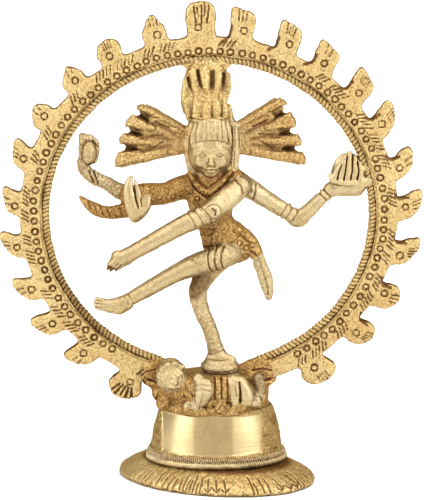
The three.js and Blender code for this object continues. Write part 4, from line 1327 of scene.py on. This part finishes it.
def ring_piece(number, name, own, window):
    """The band, which is number 0, or a flame."""
    rival = np.where(owner[window] == number, second[window], best[window])
    beyond = ((own - rival) / 2)[:, None, :]
    flat = melted[window] + F(ROUNDING) + F(0.6) * engraved[window]
    back = half_thickness[window]
    front = back - engraved[window] - inner_step[window]
    thick = np.where(ring_y < 0, -ring_y - front[:, None, :], ring_y - back[:, None, :]) + F(ROUNDING)
    body = rounded(flat[:, None, :], thick, ROUNDING) + F(OVERLAP_SLOPE) * np.clip(beyond, 0, OVERLAP)
    points, quads, at = surface(np.clip(np.maximum(body, beyond - F(OVERLAP)), -FAR, FAR).astype(F))
    on_front = ring_y[0, np.clip(at[:, 1], 0, ring_y.size - 1), 0] < 0
    cell = at[:, 0], at[:, 2]
    patina_and_shade = engraved[window][cell] / DARK_RING_CUT + inner_step[window][cell] * 0.7
    first = np.array([ring_x[window[0].start, 0], ring_y[0, 0, 0], ring_z[0, window[1].start]])
    points = points * RING_STEP + first + HUB
    normal = normals_of(points, quads)
    points += normal * cast_skin(points, 0.9)[:, None]
    # Broad random patches of darker tone, and painted shade that grows towards the ring's bottom.
    shaded = 0.16 * np.clip(grain(points, 13.0, 41) + np.clip(-(points[:, 2] - HUB[2]) / 50, 0, 1), 0, 1)
    # Painted shade on the side walls and edges turned away from the front, along with their unpolished
    # tarnish.
    dull_and_shade = 2.0 * tarnish_and_shade_facing_away(normal, -0.8) * (1 - 0.55 * np.clip(normal[:, 1], 0, 1))
    cast_piece(name, points, quads, *FINISHES["cast"], patina_and_shade * on_front + shaded + dull_and_shade, 0.6)


ring_piece(0, "aureole_band", band_flat, (slice(0, ring_x.size), slice(0, ring_z.size)))
for flame in flames:
    ring_piece(flame.number, flame.name, flame.flat, flame.window)


def grid_quads(rows, columns, closed_rows=False):
    """Faces of a grid of points whose columns close into a ring."""
    r = np.arange(rows if closed_rows else rows - 1)[:, None]
    c = np.arange(columns)[None, :]
    after_r, after_c = (r + 1) % rows, (c + 1) % columns
    corners = [r * columns + c, r * columns + after_c, after_r * columns + after_c, after_r * columns + c]
    return np.stack(corners, -1).reshape(-1, 4)


def outward(points, quads):
    """The faces, turned round if they face inwards."""
    a, b, c, d = (points[quads[:, i]] for i in range(4))
    volume = (np.cross(b - a, c - a) * a).sum() + (np.cross(c - a, d - a) * a).sum()
    return quads if volume > 0 else quads[:, ::-1]


def build_rope():
    """The twisted moulding along the band's inner edge."""
    low, high = box_mm("aureole_rope")
    thickness = (high[1] - low[1]) / 2
    path_x, path_z = (high[0] - low[0]) / 2 - thickness, high[2] - HUB[2] - thickness
    length, pitch = 290.0, 1.35  # along the path, all round and from one strand to the next
    rows, columns = ((2400, 20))
    end = math.radians(163.5)
    a = np.linspace(-end, end, rows)[:, None]
    around = (np.arange(columns) / columns * 2 * math.pi)[None, :]
    out_x, out_z = np.sin(a) / path_x, np.cos(a) / path_z
    size = np.hypot(out_x, out_z)
    turns = a / (2 * end) * length / pitch * 2 * math.pi
    uneven = grain(np.stack([a[:, 0] * 60, 0 * a[:, 0], 0 * a[:, 0]], 1), 1.7, 61)[:, None]
    ridge = np.abs(np.sin((turns + 2 * around) / 2 + 0.5 * uneven)) ** 0.8
    radius = thickness * 0.84 + 0.36 * ridge + 0.05 * uneven
    radius = radius * np.clip((end - np.abs(a)) / 0.02, 0.02, 1) ** 0.5  # the ends close in
    across = radius * np.cos(around) * 1.05
    x, z = path_x * np.sin(a) + out_x / size * across, path_z * np.cos(a) + out_z / size * across
    points = np.stack([HUB[0] + x, HUB[1] + radius * np.sin(around), HUB[2] + z], -1).reshape(-1, 3)
    caps = []
    for row, turn in ((0, -1), (rows - 1, 1)):
        ring = row * columns + np.arange(columns)
        for i in range(columns // 2 - 1):
            caps.append([ring[i], ring[i + 1], ring[columns - 2 - i], ring[columns - 1 - i]][::turn])
    quads = outward(points, np.vstack([grid_quads(rows, columns), np.array(caps)]))
    # Patina between the strands, and most of it at the lower left.
    darkest = np.clip(1.2 - np.abs(np.degrees(a) + 126) / 26, 0, 1)
    patina_and_shade = (np.clip(0.75 - ridge * 0.9, 0, 1) + 0.28 + 0.4 * darkest).reshape(-1)
    points += normals_of(points, quads) * cast_skin(points, 0.9)[:, None]
    cast_piece("aureole_rope", points, quads, FINISHES["cast"][0], "dark_brass", patina_and_shade, 0.7)


build_rope()


# ---- The turned pedestal ----
def lathe(node, outline, depth, turn, finish, shape):
    """An oval turned shape. outline is (radius, height) from the outer bottom edge, round and back.
    shape(bearing, height, radial, normal, points) gives how far each point stands out, its patina and painted
    shade, its skin and its pits. radial is how far the surface faces outwards there."""
    low, high = box_mm(node)
    rows, columns = len(outline), 900
    r, z = outline[:, :1], outline[:, 1:]
    a = (np.arange(columns) / columns * 2 * math.pi)[None, :]
    cos, sin = math.cos(turn), math.sin(turn)
    px, py = r * np.cos(a), r * np.sin(a) * depth
    points = np.stack([px * cos - py * sin, px * sin + py * cos, z + 0 * a], -1).reshape(-1, 3)
    quads = outward(points, grid_quads(rows, columns, closed_rows=True))
    normal = normals_of(points, quads)
    bearing = np.degrees(np.arctan2(points[:, 0], -points[:, 1]))  # 0 at the front, growing to the right
    radius = np.maximum(np.hypot(points[:, 0], points[:, 1]), 1)
    radial = (normal[:, :2] * points[:, :2]).sum(axis=1) / radius
    stands, patina_and_shade, skin, pits = shape(bearing, points[:, 2], radial, normal, points)
    points = points + ((low[0] + high[0]) / 2, (low[1] + high[1]) / 2, 0)
    points += normal * (stands + skin * cast_skin(points))[:, None]
    if low[2] < 0.01:
        points[:, 2] = np.maximum(points[:, 2], 0)
    return cast_piece(node, points, quads, *FINISHES[finish], patina_and_shade, pits)


def resample(corners, step):
    """Points at even steps along straight lines between corners."""
    made = []
    for a, b in zip(corners, corners[1:]):
        count = max(1, round(math.dist(a, b) / step))
        made += [tuple(np.array(a) + (np.array(b) - np.array(a)) * i / count) for i in range(count)]
    return np.array(made)


def smooth_loop(corners, step):
    """Even points round a closed loop of corners."""
    loop = np.array([*corners, corners[0]])
    for _ in range(2):
        loop = np.vstack([[a * 0.75 + b * 0.25, a * 0.25 + b * 0.75] for a, b in zip(loop, loop[1:])])
        loop = np.vstack([loop, loop[:1]])
    return resample([tuple(p) for p in loop], step)


def slashes(bearing, run, lines, radius=27.0, height=7.4, width=0.36):
    """Depth, 0 to 1, of lines (bearing, run, bearing, run) cut in a turned surface.
    run is 0 at the bottom and 1 at the top."""
    scale = np.array([math.pi / 180 * radius, height])
    x, y = bearing * scale[0], run * scale[1]
    cut = np.zeros(len(bearing))
    for line in lines:
        a, b = line[:2] * scale, line[2:] * scale
        along = b - a
        t = np.clip(((x - a[0]) * along[0] + (y - a[1]) * along[1]) / (along @ along + 1e-9), 0, 1)
        cut = np.maximum(cut, profile(np.hypot(x - a[0] - t * along[0], y - a[1] - t * along[1]), width))
    return cut


def skirt_cuts():
    """Strokes from the skirt's edge, small darts between them, and nicks along the edge."""
    rng = np.random.default_rng(9)
    lines = []
    for start, stop, gap in ((-74, -33, 4.4), (-29, -12, 3.0), (21, 33, 3.2), (50, 84, 2.7), (96, 262, 6.0)):
        b = start
        while b < stop:
            slant = rng.uniform(-1.2, 1.2)
            lines.append((b, rng.uniform(0.02, 0.25), b + slant, rng.uniform(0.6, 0.95)))
            b += gap * rng.uniform(0.75, 1.3)
    for b in (-8.5, -2.5, 3.5, 38.0, 44.0, 49.5):
        lines += [(b, 0.75, b + 0.6, 0.35), (b - 2.0, 0.42, b + 0.4, 0.24), (b + 2.6, 0.46, b + 0.4, 0.24)]
    for b in range(-70, 90, 2):
        if rng.random() < 0.7:
            lines.append((b, 0.0, b + rng.uniform(-0.6, 0.6), rng.uniform(0.05, 0.16)))
    return lines


def edge(value, soft=0.22):
    """0 below 0 and 1 above it, with a soft step."""
    return np.clip(value / soft + 0.5, 0, 1)


SKIRT_TURN, DRUM_TURN = math.radians(-34), math.radians(-6)
TOP_HOLE = 0.3  # radius left open in the middle of the drum's top, under the rock
FACET_LEFT, FACET_RIGHT, FACET_TOP = -16.3, 12.9, 12.3  # the sanded facet on the drum's front
SHADED_MIDDLE_LEFT, SHADED_MIDDLE_RIGHT = -7.4, 4.4  # the middle of it, which the belt hardly touched, darkened as painted shade between the bright reflections at its sides


def build_skirt():
    node = "pedestal_skirt"
    top = box_mm(node)[1][2]
    lines = skirt_cuts()

    def shape(bearing, height, radial, normal, points):
        wrapped = np.where(bearing < -90, bearing + 360, bearing)
        outside = (radial > -0.2) & (normal[:, 2] > -0.5)
        cut = slashes(wrapped, np.clip(height / top, 0, 1), lines) * outside
        chips = np.clip(grain(points, 1.1, 21), 0, 1) * np.clip(1 - height / 1.6, 0, 1) * 0.3
        # Patina in the cuts, and darker along the skirt's top, under the bead.
        patina_and_shade = cut + np.clip(1 - (top - height) / 0.5, 0, 1) * 0.7 * outside
        # Darker all over, and more so towards the right.
        darker_to_right = 0.1 + 0.08 * np.clip((wrapped - 30) / 40, 0, 1)
        return -0.36 * cut - chips, patina_and_shade * 0.85 + darker_to_right + tarnish_and_shade_facing_away(normal) * 0.7, 1.5, 0.65

    outline = [
        (27.0, 0), (29.6, 0), (30.7, 0.5), (30.3, 1.8), (28.3, 3.2), (25.6, 4.5), (22.6, top + 0.1),
        (17.6, top + 0.1), (18.6, 4.4), (23.0, 2.4),
    ]
    lathe(node, smooth_loop(outline, 0.3), 0.78, SKIRT_TURN, "cast", shape)


def build_bead():
    node = "pedestal_bead"
    low, high = box_mm(node)

    def shape(bearing, height, radial, normal, points):
        across = (height - low[2]) / (high[2] - low[2])
        ridge = np.abs(np.sin(np.radians(bearing) * 82 + 2.2 * across))
        upper = np.clip((across - 0.62) / 0.1, 0, 1)
        sides = np.clip((bearing - 12) / 12, 0, 1) + np.clip((-66 - bearing) / 12, 0, 1)
        strength = 0.06 + 0.34 * np.maximum(upper, sides)
        depth = (1 - ridge) ** 1.5 * np.minimum(strength, 0.4)
        # Painted shade along the bead's underside.
        under = np.clip(1 - across / 0.14, 0, 1)
        return -depth, depth * 2.2 + under * 0.5 + upper * 0.2, 1.0, 0.3 + 0.6 * upper

    foot, top = low[2] - 0.4, high[2] + 0.25
    outline = [
        (17.6, foot), (19.6, foot), (20.3, foot + 0.1), (20.8, foot + 0.6), (20.9, top - 1.5),
        (20.4, top - 0.9), (20.3, top - 0.7), (20.5, top - 0.3), (20.2, top + 0.2), (19.6, top + 0.7),
        (17.6, top + 0.8),
    ]
    lathe(node, smooth_loop(outline, 0.2), 0.8, DRUM_TURN, "worn", shape)


def build_drum():
    node = "pedestal_drum"
    low, high = box_mm(node)
    foot, top = low[2], high[2]
    facets = []

    def shape(bearing, height, radial, normal, points):
        x, y = points[:, 0], points[:, 1]
        facet = edge(x - FACET_LEFT) * edge(FACET_RIGHT - x) * edge(-y - 3)
        facet = facet * edge(height - foot - 1.1) * edge(foot + FACET_TOP - height)
        waves = grain(points * (1, 1, 0.25), 2.2, 31) * 0.05
        ribs = np.clip(grain(points * (0.5, 0.5, 3.0), 1.6, 32), 0, 1) * 0.16 * (1 - facet)
        # The middle of the facet is less sanded and gets painted shade; beyond it the facet is filed deeper.
        middle = edge(x - SHADED_MIDDLE_LEFT, 0.7) * edge(SHADED_MIDDLE_RIGHT - x, 0.7)
        facets.append(facet * (1 - 0.42 * middle * (1 + 0.4 * grain(points * (1, 1, 0.3), 1.4, 33))))
        dull_and_shade = (ribs * 2.8 + 0.46) * (1 - facet) + 0.72 * middle * facet
        filed = 0.16 + 0.06 * np.clip(x - SHADED_MIDDLE_RIGHT, 0, 9) + 0.03 * np.clip(SHADED_MIDDLE_LEFT - x, 0, 9)
        return -filed * facet + waves * (1 - facet) - ribs, dull_and_shade, 1.6 * (1 - facet), 0.8 * (1 - facet)

    outside = [
        (17.2, foot - 0.2), (19.6, foot - 0.2), (19.75, foot + 0.4), (19.3, foot + 1.6), (19.0, foot + 3.2),
        (18.7, foot + 5.4), (18.2, foot + 7.8), (17.6, foot + 10.0), (16.9, foot + 12.2), (16.4, top - 0.4),
        (15.9, top), (TOP_HOLE, top),
    ]
    ceiling = top - 2.4
    inside = [(TOP_HOLE, top), (TOP_HOLE, ceiling), (14.2, ceiling), (16.0, foot + 6.4), (17.2, foot - 0.2)]
    outline = np.vstack([resample(outside, 0.25), resample(inside, 0.8)])
    drum = lathe(node, outline, 0.8, DRUM_TURN, "brushed", shape)
    set_attribute(drum.data, "facet", facets[0])


build_skirt()
build_bead()
build_drum()


# ---- Studio ----
def build_studio():
    scene = bpy.context.scene
    scene.view_settings.view_transform = "Standard"
    scene.view_settings.look = "None"

    floor_mesh = bpy.data.meshes.new("floor")
    far = 6.0
    corners = [(-far, -far, 0), (far, -far, 0), (far, far, 0), (-far, far, 0)]
    floor_mesh.from_pydata(corners, [], [(0, 1, 2, 3)])
    floor = bpy.data.objects.new("floor", floor_mesh)
    scene.collection.objects.link(floor)
    pale = bpy.data.materials.new("pale_floor")
    pale.use_nodes = True
    pale_inputs = pale.node_tree.nodes["Principled BSDF"].inputs
    pale_inputs["Base Color"].default_value = (0.93, 0.93, 0.93, 1)
    pale_inputs["Roughness"].default_value = 0.8
    pale_inputs["Specular IOR Level"].default_value = 0.1
    floor_mesh.materials.append(pale)
    floor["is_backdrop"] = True

    world = bpy.data.worlds.new("studio")
    world.use_nodes = True
    nodes, links = world.node_tree.nodes, world.node_tree.links
    background = nodes["Background"]
    background.inputs["Color"].default_value = (1.0, 0.985, 0.96, 1)
    direction = nodes.new("ShaderNodeSeparateXYZ")
    links.new(nodes.new("ShaderNodeTexCoord").outputs["Generated"], direction.inputs[0])

    def graded(source, low, high, dim, bright):
        made = nodes.new("ShaderNodeMapRange")
        made.interpolation_type = "SMOOTHSTEP"
        for socket, value in zip(made.inputs[1:5], (low, high, dim, bright)):
            socket.default_value = value
        links.new(source, made.inputs[0])
        return made.outputs[0]

    # A bright ceiling, a paler front and a dimmer back.
    total = nodes.new("ShaderNodeMath")
    links.new(graded(direction.outputs["Z"], 0.1, 0.95, 0.0, 1.15), total.inputs[0])
    links.new(graded(direction.outputs["Y"], 1.0, -1.0, 0.28, 0.8), total.inputs[1])
    links.new(total.outputs[0], background.inputs["Strength"])
    scene.world = world

    def aimed(name, data, place, direction):
        made = bpy.data.objects.new(name, data)
        made.location = place
        made.rotation_mode = "QUATERNION"
        made.rotation_quaternion = direction.to_track_quat("-Z", "Y")
        scene.collection.objects.link(made)
        return made

    def softbox(name, place, size, watts):
        light = bpy.data.lights.new(name, "AREA")
        light.shape = "RECTANGLE"
        light.size, light.size_y = size
        light.energy = watts
        aimed(name, light, place, Vector((0, 0, 0.07)) - Vector(place))

    softbox("key", (0.76, -0.48, 0.42), (0.5, 0.8), 4.3)
    softbox("fill", (-0.84, -0.4, 0.36), (0.45, 0.8), 4.2)
    softbox("top", (0.0, -0.2, 1.1), (0.9, 0.7), 3.0)

    camera = bpy.data.cameras.new("camera")
    camera.lens, camera.sensor_width = 221.8, 36
    camera.clip_start, camera.clip_end = 0.01, 50
    azimuth, elevation, distance = math.radians(-2), math.radians(10), 0.9
    level = math.cos(elevation)
    back = Vector((math.sin(azimuth) * level, -math.cos(azimuth) * level, math.sin(elevation)))
    target = Vector((0, 0, (cad_high.z - cad_low.z) * 0.4835))
    scene.camera = aimed("camera", camera, target + back * distance, -back)


build_studio()

low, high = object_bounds()
{"cad": [list(cad_low), list(cad_high)], "visual": [list(low), list(high)]}
